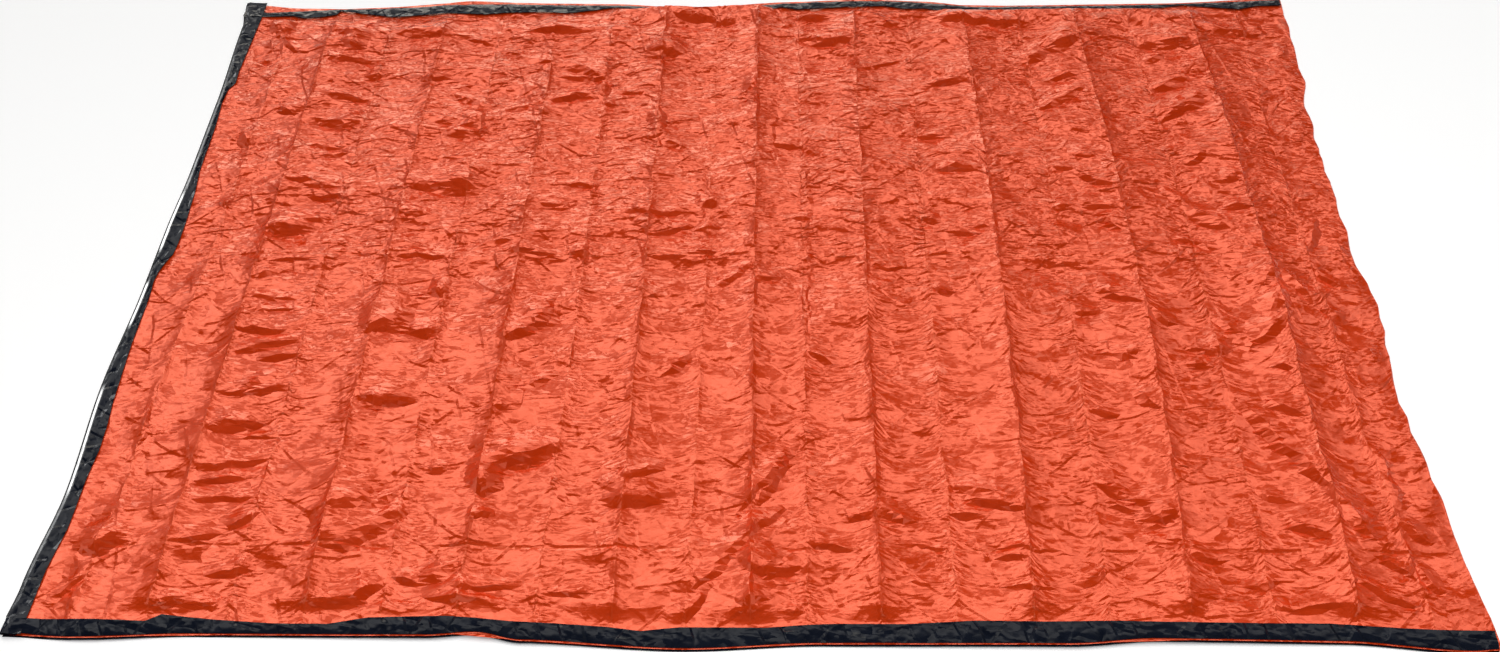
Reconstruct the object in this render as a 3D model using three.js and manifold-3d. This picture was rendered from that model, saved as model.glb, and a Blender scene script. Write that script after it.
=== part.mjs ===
// A two-person emergency bag of thin film, lying empty and flat with its packing folds still in it.
// Millimetres, +Z up. The mouth is at -X, the folded foot at +X, the side seams at -Y and +Y.

import * as THREE from 'three';
import { mergeVertices } from 'three/addons/utils/BufferGeometryUtils.js';
import Module from 'manifold-3d';

// Driving dimensions
const HALF_LENGTH = 1065; // half of the way from the mouth to the folded foot
const HALF_DEPTH = 760; // half of the way from one side seam to the other
const FILM = 1.2; // one layer of film
const TAPE = 1.0; // one layer of tape
const CLEARANCE = 0.3; // between two pieces that touch
const LAYER_GAP = 0.8; // between the two layers of film where they lie flattest
const WELD = 10; // width of the welded side seams
const SEAM_BAND = 36; // flat border along a side seam that carries the tapes
const MOUTH_BAND = 32; // flat border along the mouth that carries the bindings
const BORDER_RAMP = 46; // run over which a border meets the crumpled film
const FOOT_NOSE = 3; // length of the rounded fold at the foot
const NOSE_REST = 0.35; // share of the thickness left at the very edge of that fold
const EDGE_RISE = 3; // rise of the crumpled film where it meets the mouth and the foot
const FOOT_CALM = 60; // run over which the folds die out towards the foot
const WOBBLE_REACH = 170; // how far in from an edge its unevenness is felt
const CELL_ALONG_X = 60; // coarsest spacing of the surface lines
const CELL_ALONG_Y = 45;
const LEVEL_ROWS = 4; // rows of cells joined into one where the underside is level

// Tape widths, measured inwards from the film's edge
const TOP_TAPE = { from: 6, to: 34 };
const UNDER_TAPE = { from: -2.5, to: 26 };
const BINDING = { outerLeg: 28, innerLeg: 22, upperStandoff: 0.6, underStandoff: 2.6, round: 0.45 };

// Packing folds that run from seam to seam: place, and rise of the upper layer near, in the middle, far
const PLEATS = [
  { x: -961, near: 2, middle: 4, far: 3 },
  { x: -871, near: 10, middle: 8, far: 11 },
  { x: -751, near: 2, middle: 1, far: 4 },
  { x: -641, near: 12, middle: 9, far: 10 },
  { x: -525, near: 1, middle: 3, far: 2 },
  { x: -414, near: 9, middle: 12, far: 8 },
  { x: -298, near: 2, middle: 1, far: 6 },
  { x: -188, near: 11, middle: 9, far: 12 },
  { x: -77, near: 3, middle: 4, far: 2 },
  { x: 3, near: 11, middle: 13, far: 15 },
  { x: 88, near: 2, middle: 4, far: 1 },
  { x: 197, near: 12, middle: 9, far: 11 },
  { x: 309, near: 1, middle: 2, far: 2 },
  { x: 425, near: 11, middle: 12, far: 9 },
  { x: 541, near: 2, middle: 1, far: 1 },
  { x: 652, near: 13, middle: 11, far: 10 },
  { x: 768, near: 1, middle: 2, far: 1 },
  { x: 884, near: 12, middle: 14, far: 11 },
  { x: 978, near: 2, middle: 1, far: 2 },
];

// Packing folds that run from mouth to foot
const CROSS_FOLDS = [
  { y: -603, rise: 5, reach: 48 },
  { y: 18, rise: 7, reach: 46 },
  { y: 639, rise: 6, reach: 48 },
];

// Loose folds: ridges from one point to another
const LOOSE_FOLDS = [
  { x0: 773, y0: -288, x1: 930, y1: -520, rise: 17, reach: 52 },
  { x0: 884, y0: -10, x1: 806, y1: -225, rise: 13, reach: 48 },
  { x0: 92, y0: -430, x1: -100, y1: -700, rise: 16, reach: 52 },
  { x0: -420, y0: -490, x1: -290, y1: -395, rise: 12, reach: 46 },
  { x0: -860, y0: 560, x1: -700, y1: 655, rise: 11, reach: 48 },
  { x0: -700, y0: 655, x1: -560, y1: 640, rise: 14, reach: 48 },
  { x0: -560, y0: 640, x1: -300, y1: 515, rise: 15, reach: 48 },
  { x0: -960, y0: 510, x1: -870, y1: 430, rise: 10, reach: 46 },
  { x0: -868, y0: 385, x1: -755, y1: 330, rise: 11, reach: 46 },
  { x0: -640, y0: 505, x1: -560, y1: 400, rise: 10, reach: 46 },
  { x0: -420, y0: 410, x1: -350, y1: 450, rise: 10, reach: 46 },
  { x0: -870, y0: 220, x1: -770, y1: 170, rise: 10, reach: 46 },
  { x0: -640, y0: 175, x1: -515, y1: 200, rise: 12, reach: 46 },
  { x0: -640, y0: -200, x1: -530, y1: -120, rise: 11, reach: 46 },
  { x0: -860, y0: -400, x1: -755, y1: -360, rise: 10, reach: 46 },
  { x0: -975, y0: -290, x1: -978, y1: -470, rise: 10, reach: 46 },
  { x0: -635, y0: -600, x1: -560, y1: -545, rise: 13, reach: 46 },
  { x0: -1010, y0: -560, x1: -940, y1: -690, rise: 10, reach: 46 },
  { x0: -230, y0: -510, x1: -140, y1: -488, rise: 10, reach: 46 },
  { x0: 150, y0: -545, x1: 290, y1: -565, rise: 10, reach: 46 },
  { x0: 330, y0: -490, x1: 430, y1: -530, rise: 10, reach: 46 },
  { x0: 540, y0: -470, x1: 645, y1: -540, rise: 12, reach: 46 },
  { x0: 560, y0: -100, x1: 680, y1: -250, rise: 10, reach: 46 },
  { x0: 120, y0: 430, x1: 240, y1: 590, rise: 10, reach: 48 },
  { x0: 545, y0: 560, x1: 650, y1: 640, rise: 11, reach: 46 },
  { x0: 545, y0: 490, x1: 640, y1: 545, rise: 9, reach: 42 },
  { x0: 770, y0: 460, x1: 884, y1: 560, rise: 12, reach: 46 },
  { x0: 785, y0: 395, x1: 884, y1: 480, rise: 9, reach: 42 },
  { x0: 1012, y0: 120, x1: 985, y1: 30, rise: 10, reach: 42 },
  { x0: -300, y0: 706, x1: -20, y1: 712, rise: 15, reach: 44 },
  { x0: 340, y0: 712, x1: 900, y1: 706, rise: 10, reach: 44 },
];

// Unevenness of the four edges: place along the edge, and how far it strays outwards there
const NEAR_EDGE = [
  { at: -1065, out: -4 },
  { at: -955, out: 2 },
  { at: -795, out: -6 },
  { at: -455, out: -5 },
  { at: -385, out: -10 },
  { at: -315, out: 2 },
  { at: -85, out: 12 },
  { at: 115, out: 2 },
  { at: 465, out: 1 },
  { at: 590, out: -8 },
  { at: 850, out: -7 },
  { at: 1025, out: 6 },
  { at: 1065, out: 3 },
];
const FAR_EDGE = [
  { at: -1065, out: 6 },
  { at: -945, out: -8 },
  { at: -865, out: -10 },
  { at: -700, out: -3 },
  { at: -600, out: 10 },
  { at: -470, out: 3 },
  { at: -295, out: 2 },
  { at: -150, out: -10 },
  { at: 65, out: 5 },
  { at: 215, out: 11 },
  { at: 335, out: 6 },
  { at: 445, out: -7 },
  { at: 825, out: -4 },
  { at: 1065, out: 10 },
];
const MOUTH_EDGE = [
  { at: -760, out: 5 },
  { at: -672, out: -2 },
  { at: -502, out: -14 },
  { at: -280, out: -5 },
  { at: -65, out: -12 },
  { at: 85, out: -12 },
  { at: 240, out: -16 },
  { at: 440, out: -15 },
  { at: 690, out: -8 },
  { at: 760, out: 3 },
];
const FOOT_EDGE = [
  { at: -760, out: 3 },
  { at: -672, out: -3 },
  { at: -552, out: -11 },
  { at: -287, out: -25 },
  { at: -95, out: -11 },
  { at: 10, out: -21 },
  { at: 420, out: -19 },
  { at: 520, out: -4 },
  { at: 760, out: 0 },
];

// How far the two side seams stand up off the surface: place along the seam and lift
const NEAR_LIFT = [
  { at: -1020, lift: 0 },
  { at: -940, lift: 3 },
  { at: -795, lift: 0 },
  { at: -385, lift: 4 },
  { at: -85, lift: 0 },
  { at: 590, lift: 4 },
  { at: 1065, lift: 0 },
];
const FAR_LIFT = [
  { at: -820, lift: 0 },
  { at: -600, lift: 4 },
  { at: -150, lift: 0 },
  { at: 215, lift: 4 },
  { at: 445, lift: 0 },
  { at: 1065, lift: 3 },
];

// Heights of the stack of layers in the borders
const underFilm = TAPE + CLEARANCE;
const seamTop = underFilm + 2 * FILM + LAYER_GAP;
const bindingGap = 2 * TAPE + 3 * CLEARANCE;
const mouthTop = underFilm + 2 * FILM + bindingGap;

const clamp01 = (t) => Math.min(1, Math.max(0, t));
const smooth = (t) => THREE.MathUtils.smoothstep(t, 0, 1);
const lerp = THREE.MathUtils.lerp;

// Reads a table of places and values at any place, rounding smoothly from row to row.
function readTable(rows, key, at) {
  if (at <= rows[0].at) return rows[0][key];
  const next = rows.findIndex((row) => row.at >= at);
  if (next < 0) return rows[rows.length - 1][key];
  const before = rows[next - 1];
  const after = rows[next];
  return lerp(before[key], after[key], smooth((at - before.at) / (after.at - before.at)));
}

// The rise of a packing fold at a place between the near and the far seam.
function pleatRise(pleat, v) {
  const share = v / HALF_DEPTH;
  return share < 0 ? lerp(pleat.middle, pleat.near, -share) : lerp(pleat.middle, pleat.far, share);
}

// The zigzag of the packing folds, straight from one crease to the next.
function pleatRelief(u, v) {
  const edge = { near: EDGE_RISE, middle: EDGE_RISE, far: EDGE_RISE };
  const creases = [{ x: -HALF_LENGTH, ...edge }, ...PLEATS, { x: HALF_LENGTH, ...edge }];
  const next = Math.max(1, creases.findIndex((crease) => crease.x >= u));
  const before = creases[next - 1];
  const after = creases[next];
  const share = clamp01((u - before.x) / (after.x - before.x));
  return lerp(pleatRise(before, v), pleatRise(after, v), share);
}

// A tent-shaped ridge along a straight line from one point to another.
function ridge(u, v, fold) {
  const run = new THREE.Vector2(fold.x1 - fold.x0, fold.y1 - fold.y0);
  const offset = new THREE.Vector2(u - fold.x0, v - fold.y0);
  const along = clamp01(offset.dot(run) / run.lengthSq());
  const away = offset.sub(run.multiplyScalar(along)).length();
  return fold.rise * Math.max(0, 1 - away / fold.reach);
}

// Rise of the upper layer above its flattest lie, from all the folds together.
function relief(u, v) {
  let rise = pleatRelief(u, v);
  for (const fold of CROSS_FOLDS) rise += fold.rise * Math.max(0, 1 - Math.abs(v - fold.y) / fold.reach);
  let highest = 0;
  for (const fold of LOOSE_FOLDS) highest = Math.max(highest, ridge(u, v, fold));
  return (rise + highest) * smooth((HALF_LENGTH - u) / FOOT_CALM);
}

// One in a flat border, falling to nothing where the border has met the crumpled film.
const borderWeight = (inwards, band) => 1 - smooth((inwards - band) / BORDER_RAMP);
const seamWeight = (v) => borderWeight(HALF_DEPTH - Math.abs(v), SEAM_BAND);
const mouthWeight = (u) => borderWeight(u + HALF_LENGTH, MOUTH_BAND);

// The lift of the side seams, felt a little way in from them.
function edgeLift(u, v) {
  const near = readTable(NEAR_LIFT, 'lift', u) * borderWeight(HALF_DEPTH + v, SEAM_BAND);
  const far = readTable(FAR_LIFT, 'lift', u) * borderWeight(HALF_DEPTH - v, SEAM_BAND);
  return near + far;
}

// Underside of the bag: flat on the surface, raised by the tapes under its borders.
function underside(u, v) {
  return underFilm * Math.max(seamWeight(v), mouthWeight(u)) + edgeLift(u, v);
}

// Upper face of the bag's upper layer.
function upperFace(u, v) {
  const crumpled = 2 * FILM + LAYER_GAP + relief(u, v);
  const atSeams = lerp(crumpled, seamTop, seamWeight(v));
  return lerp(atSeams, mouthTop, mouthWeight(u)) + edgeLift(u, v);
}

// Moves a point of the even rectangle to where the uneven edges put it.
function place(u, v, z) {
  const felt = (inwards) => 1 - smooth(inwards / WOBBLE_REACH);
  const mouth = readTable(MOUTH_EDGE, 'out', v) * felt(u + HALF_LENGTH);
  const foot = readTable(FOOT_EDGE, 'out', v) * felt(HALF_LENGTH - u);
  const near = readTable(NEAR_EDGE, 'out', u) * felt(v + HALF_DEPTH);
  const far = readTable(FAR_EDGE, 'out', u) * felt(HALF_DEPTH - v);
  return new THREE.Vector3(u - mouth + foot, v - near + far, z);
}

// Lines through all the given places, with even ones between so that none are too far apart.
function linesThrough(places, coarsest) {
  const sorted = [...places].sort((a, b) => a - b);
  const lines = [sorted[0]];
  for (let i = 1; i < sorted.length; i += 1) {
    const span = sorted[i] - sorted[i - 1];
    const count = Math.ceil(span / coarsest);
    for (let k = 1; k <= count; k += 1) lines.push(sorted[i - 1] + (span * k) / count);
  }
  return lines;
}

const noseLine = HALF_LENGTH - FOOT_NOSE;
const xLines = linesThrough(
  [
    -HALF_LENGTH,
    -HALF_LENGTH + MOUTH_BAND,
    ...PLEATS.map((pleat) => pleat.x),
    HALF_LENGTH - FOOT_CALM / 2,
    noseLine,
    HALF_LENGTH - FOOT_NOSE / 4,
    HALF_LENGTH,
  ],
  CELL_ALONG_X,
);
const levelDepth = HALF_DEPTH - SEAM_BAND - BORDER_RAMP;
const seamLines = [HALF_DEPTH, HALF_DEPTH - WELD, HALF_DEPTH - SEAM_BAND, levelDepth];
const yLines = linesThrough(
  [...seamLines, ...seamLines.map((v) => -v), ...CROSS_FOLDS.map((fold) => fold.y)],
  CELL_ALONG_Y,
);

// Makes an indexed geometry that holds positions only.
function geometryFrom(points, triangles) {
  const geometry = new THREE.BufferGeometry();
  const positions = points.flatMap((point) => [point.x, point.y, point.z]);
  geometry.setAttribute('position', new THREE.Float32BufferAttribute(positions, 3));
  geometry.setIndex(triangles);
  return geometry;
}

// First and last places in a rising list that lie within the given bounds.
function rangeWithin(lines, lowest, highest) {
  return [lines.findIndex((line) => line >= lowest), lines.findLastIndex((line) => line <= highest)];
}

// A closed slab between two height functions over the given lines. The level middle of its lower
// face, clear of the borders, takes several rows of cells in one.
function slab(us, vs, high, low) {
  const columns = vs.length;
  const points = [];
  for (const height of [high, low]) {
    for (const u of us) {
      for (const v of vs) points.push(place(u, v, height(u, v)));
    }
  }
  const upper = (i, j) => i * columns + j;
  const lower = (i, j) => us.length * columns + upper(i, j);
  const [i0, i1] = rangeWithin(us, BORDER_RAMP + MOUTH_BAND - HALF_LENGTH, noseLine);
  const [j0, j1] = rangeWithin(vs, -levelDepth, levelDepth);
  const isLevel = (i, j) => i >= i0 && i < i1 && j >= j0 && j < j1;
  const triangles = [];
  const face = (a, b, c, d) => triangles.push(a, b, c, a, c, d);
  const lastI = us.length - 1;
  const lastJ = columns - 1;
  for (let i = 0; i < lastI; i += 1) {
    for (let j = 0; j < lastJ; j += 1) {
      const corners = [upper(i, j), upper(i + 1, j), upper(i + 1, j + 1), upper(i, j + 1)];
      const [a, b, c, d] = corners.map((corner) => points[corner].z);
      if (a + c > b + d) face(...corners);
      else face(corners[1], corners[2], corners[3], corners[0]);
      if (!isLevel(i, j)) face(lower(i, j + 1), lower(i + 1, j + 1), lower(i + 1, j), lower(i, j));
    }
    face(upper(i, 0), lower(i, 0), lower(i + 1, 0), upper(i + 1, 0));
    face(upper(i + 1, lastJ), lower(i + 1, lastJ), lower(i, lastJ), upper(i, lastJ));
  }
  for (let j = 0; j < lastJ; j += 1) {
    face(upper(0, j + 1), lower(0, j + 1), lower(0, j), upper(0, j));
    face(upper(lastI, j), lower(lastI, j), lower(lastI, j + 1), upper(lastI, j + 1));
  }
  for (let near = j0; near < j1; near += LEVEL_ROWS) {
    const far = Math.min(j1, near + LEVEL_ROWS);
    for (let i = i0 + 1; i < i1 - 1; i += 1) {
      face(lower(i, far), lower(i + 1, far), lower(i + 1, near), lower(i, near));
    }
    for (let j = near; j < far; j += 1) {
      triangles.push(lower(i0, j + 1), lower(i0 + 1, near), lower(i0, j));
      triangles.push(lower(i1, j + 1), lower(i1, j), lower(i1 - 1, far));
    }
    triangles.push(lower(i0, far), lower(i0 + 1, far), lower(i0 + 1, near));
    triangles.push(lower(i1 - 1, far), lower(i1, near), lower(i1 - 1, near));
  }
  return geometryFrom(points, triangles);
}

// A closed bar through a row of like sections. Each section is a closed outline of points.
function bar(sections, outline) {
  const around = sections[0].length;
  const triangles = [];
  for (let s = 0; s + 1 < sections.length; s += 1) {
    for (let k = 0; k < around; k += 1) {
      const a = s * around + k;
      const b = s * around + ((k + 1) % around);
      triangles.push(a, b, b + around, a, b + around, a + around);
    }
  }
  const end = (sections.length - 1) * around;
  for (const [a, b, c] of THREE.ShapeUtils.triangulateShape(outline, [])) {
    triangles.push(c, b, a, end + a, end + b, end + c);
  }
  return geometryFrom(sections.flat(), triangles);
}

// The bag's body: the outside of the folded film less the space between its two layers.
function filmGeometry(wasm) {
  const noseShare = (u) => Math.max(NOSE_REST, Math.sqrt(1 - clamp01((u - noseLine) / FOOT_NOSE) ** 2));
  const middle = (u, v) => (upperFace(u, v) + underside(u, v)) / 2;
  const half = (u, v) => ((upperFace(u, v) - underside(u, v)) / 2) * noseShare(u);
  const outside = slab(
    xLines,
    yLines,
    (u, v) => middle(u, v) + half(u, v),
    (u, v) => middle(u, v) - half(u, v),
  );
  const insideX = [-HALF_LENGTH - MOUTH_BAND, ...xLines.filter((u) => u > -HALF_LENGTH && u <= noseLine)];
  const insideY = yLines.filter((v) => Math.abs(v) <= HALF_DEPTH - WELD);
  const inside = slab(
    insideX,
    insideY,
    (u, v) => upperFace(u, v) - FILM,
    (u, v) => underside(u, v) + FILM,
  );
  return toGeometry(toSolid(wasm, outside).subtract(toSolid(wasm, inside)));
}

function toSolid(wasm, geometry) {
  const merged = mergeVertices(geometry);
  const mesh = new wasm.Mesh({
    numProp: 3,
    vertProperties: new Float32Array(merged.attributes.position.array),
    triVerts: new Uint32Array(merged.index.array),
  });
  return new wasm.Manifold(mesh);
}

function toGeometry(solid) {
  const mesh = solid.getMesh();
  const geometry = new THREE.BufferGeometry();
  geometry.setAttribute('position', new THREE.Float32BufferAttribute(mesh.vertProperties, 3));
  geometry.setIndex([...mesh.triVerts]);
  return geometry;
}

// A seam tape: a flat strip that follows one border of the film, on top of it or beneath it.
function seamTapeGeometry(side, width, baseHeight) {
  const outline = [
    new THREE.Vector2(width.from, 0),
    new THREE.Vector2(width.to, 0),
    new THREE.Vector2(width.to, TAPE),
    new THREE.Vector2(width.from, TAPE),
  ];
  const section = (u) =>
    outline.map((corner) => {
      const v = side * (HALF_DEPTH - corner.x);
      return place(u, v, baseHeight(u) + corner.y);
    });
  const along = xLines.filter((u) => u <= noseLine);
  const ordered = side < 0 ? along : [...along].reverse();
  return bar(ordered.map(section), outline);
}

// A mouth binding: tape folded over the edge of one layer whose underside is at the given height.
function bindingGeometry(layerUnder, standoff, outerIsUp) {
  const { outerLeg, innerLeg, round } = BINDING;
  const bottom = layerUnder - CLEARANCE - TAPE;
  const top = layerUnder + FILM + CLEARANCE + TAPE;
  const upperLeg = outerIsUp ? outerLeg : innerLeg;
  const lowerLeg = outerIsUp ? innerLeg : outerLeg;
  const fold = -standoff - TAPE;
  const outline = [
    new THREE.Vector2(lowerLeg, bottom),
    new THREE.Vector2(lowerLeg, bottom + TAPE),
    new THREE.Vector2(-standoff, bottom + TAPE),
    new THREE.Vector2(-standoff, top - TAPE),
    new THREE.Vector2(upperLeg, top - TAPE),
    new THREE.Vector2(upperLeg, top),
    new THREE.Vector2(fold + round, top),
    new THREE.Vector2(fold, top - round),
    new THREE.Vector2(fold, bottom + round),
    new THREE.Vector2(fold + round, bottom),
  ];
  const section = (v) => outline.map((corner) => place(corner.x - HALF_LENGTH, v, corner.y));
  const reach = HALF_DEPTH - TOP_TAPE.to - CLEARANCE;
  const along = [-reach, ...yLines.filter((v) => Math.abs(v) < reach), reach];
  return bar(along.map(section).reverse(), outline);
}

function makeMesh(name, geometry, look) {
  geometry.computeVertexNormals();
  const mesh = new THREE.Mesh(geometry, new THREE.MeshStandardMaterial(look));
  mesh.name = name;
  return mesh;
}

const FILM_LOOK = { color: 0xdb5b3d, roughness: 0.36, metalness: 0.45 };
const TAPE_LOOK = { color: 0x22242c, roughness: 0.25, metalness: 0.05 };

const wasm = await Module();
wasm.setup();

const bag = new THREE.Group();
bag.add(makeMesh('film', filmGeometry(wasm), FILM_LOOK));

for (const [edge, side] of [['near', -1], ['far', 1]]) {
  const above = (u) => upperFace(u, side * HALF_DEPTH) + CLEARANCE;
  const beneath = (u) => underside(u, side * HALF_DEPTH) - CLEARANCE - TAPE;
  bag.add(makeMesh(`tape_${edge}_top`, seamTapeGeometry(side, TOP_TAPE, above), TAPE_LOOK));
  bag.add(makeMesh(`tape_${edge}_under`, seamTapeGeometry(side, UNDER_TAPE, beneath), TAPE_LOOK));
}

const upperLayer = mouthTop - FILM;
bag.add(makeMesh('tape_mouth_top', bindingGeometry(upperLayer, BINDING.upperStandoff, true), TAPE_LOOK));
bag.add(makeMesh('tape_mouth_under', bindingGeometry(underFilm, BINDING.underStandoff, false), TAPE_LOOK));

// The origin is the middle of the bag's box, on the surface it lies on.
const box = new THREE.Box3().setFromObject(bag);
const centre = box.getCenter(new THREE.Vector3());
bag.position.set(-centre.x, -centre.y, -box.min.z);

export default bag;
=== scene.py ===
import math
import bpy
import numpy as np
from mathutils import Matrix, Vector


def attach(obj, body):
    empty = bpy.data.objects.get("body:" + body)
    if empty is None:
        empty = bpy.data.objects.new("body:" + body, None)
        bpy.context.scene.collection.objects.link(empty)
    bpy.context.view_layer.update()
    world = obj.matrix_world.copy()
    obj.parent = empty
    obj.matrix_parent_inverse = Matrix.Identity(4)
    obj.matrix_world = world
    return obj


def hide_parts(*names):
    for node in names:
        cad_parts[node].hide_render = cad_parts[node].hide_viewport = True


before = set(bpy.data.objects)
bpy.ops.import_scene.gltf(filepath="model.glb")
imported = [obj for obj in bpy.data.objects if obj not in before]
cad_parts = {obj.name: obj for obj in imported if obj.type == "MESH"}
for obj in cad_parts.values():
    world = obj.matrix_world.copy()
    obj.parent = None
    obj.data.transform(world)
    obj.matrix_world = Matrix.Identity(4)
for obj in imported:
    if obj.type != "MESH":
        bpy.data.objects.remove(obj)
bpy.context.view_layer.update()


# Bag body: lie of the film
# The bag is one long sheet of thin metallised film, folded over at the foot and welded along both sides.
# It was folded small in its pack, so straight packing folds cross it and everything between is crumpled.
# Sizes here are in millimetres, x from the mouth to the foot and y from the near seam to the far one.
MM = 0.001
HALF_LENGTH = 1065.0
HALF_DEPTH = 760.0
CENTRING = np.array([1.6, 0.5, 0.0])
UPPER_LIE = 2.6
SEAM_LIE = 3.9
MOUTH_LIE = 6.0
UNDER_LIE = 0.6
UNDER_SEAM_LIE = 1.9
WELD_LIE = 2.9
SEAM_BAND = 34.0
SEAM_RAMP = 30.0
MOUTH_BAND = 26.0
MOUTH_RAMP = 26.0
FOOT_CALM = 34.0
EDGE_RISE = 3.0
WOBBLE_REACH = 170.0
FOOT_RAGGED = 3.5
FOOT_RAGGED_RUN = 42.0
LOWEST_LIE = 1.6
WELD_WIDTH = 10.0
WELD_GAP = 0.4

# Packing folds from seam to seam: x at the far seam, middle and near seam, rise at each, pinch of the crease
PACKING_FOLDS = np.array([
    (-965, -965, -982, 3, 4, 2, -1.5),
    (-868, -872, -866, 11, 8, 10, 2.5),
    (-750, -752, -750, 4, 1, 2, -2.0),
    (-638, -640, -636, 10, 9, 12, 2.5),
    (-522, -528, -525, 2, 3, 1, -2.0),
    (-410, -412, -415, 8, 12, 9, 2.5),
    (-300, -296, -303, 6, 1, 2, -2.0),
    (-190, -187, -190, 12, 9, 11, 2.5),
    (-84, -80, -83, 2, 4, 3, -2.0),
    (-2, 3, 12, 15, 13, 11, 3.0),
    (78, 88, 95, 1, 4, 2, -2.5),
    (190, 197, 200, 11, 9, 12, 2.5),
    (302, 305, 310, 2, 2, 1, -2.0),
    (410, 428, 418, 9, 12, 11, 2.5),
    (522, 540, 527, 1, 1, 2, -2.0),
    (630, 664, 640, 10, 11, 13, 2.5),
    (740, 770, 760, 1, 2, 1, -2.0),
    (865, 891, 878, 11, 14, 12, 2.5),
    (970, 973, 985, 2, 1, 2, -1.5),
], dtype=float)
CREASE_REACH = 5.0
CREASE_WANDER = 2.4
WANDER_RUN = 34.0
WANDER_STEP = 5.17
PINCH_SHARE = 0.7
PINCH_RUN = 48.0
PINCH_STEP = 3.7
PINCH_MEAN = 0.45
PINCH_SPREAD = 0.75
COLUMN_SAG = 4.2
SAG_POWER = 2.4
FOLD_STAND = 3.0
PLEAT_RISE = 2.3
PLEAT_RUN = 66.0
PLEAT_SHARPNESS = 1.9
PLEAT_LEFT_SHARE = 0.5
PLEAT_FACE = 5.5
PLEAT_BACK = 26.0

# Packing folds from mouth to foot: y, rise, reach
CROSS_FOLDS = [(-603, 3, 40), (18, 4, 36), (639, 4, 40)]
CROSS_PINCH = -2.6
CROSS_RUN = 60.0
CROSS_WIDTH = 300.0
CROSS_MEAN = 0.6
CROSS_SPREAD = 0.6

# How strongly each column between two packing folds is rippled, and how deep its ripples bow, mouth to foot
RIPPLE_STRENGTH = np.array([
    0.45, 0.45, 0.60, 1.00, 0.50, 1.00, 0.45, 1.00, 0.55, 0.45,
    0.50, 1.00, 1.00, 0.55, 1.00, 0.60, 1.00, 0.60, 1.00, 0.50,
])
RIPPLE_BOW = np.array([
    4, 5, 8, 9, 8, 9, 8, 9, 9, 7, 7, 14, 15, 14, 16, 15, 18, 17, 15, 9,
], dtype=float)

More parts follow.
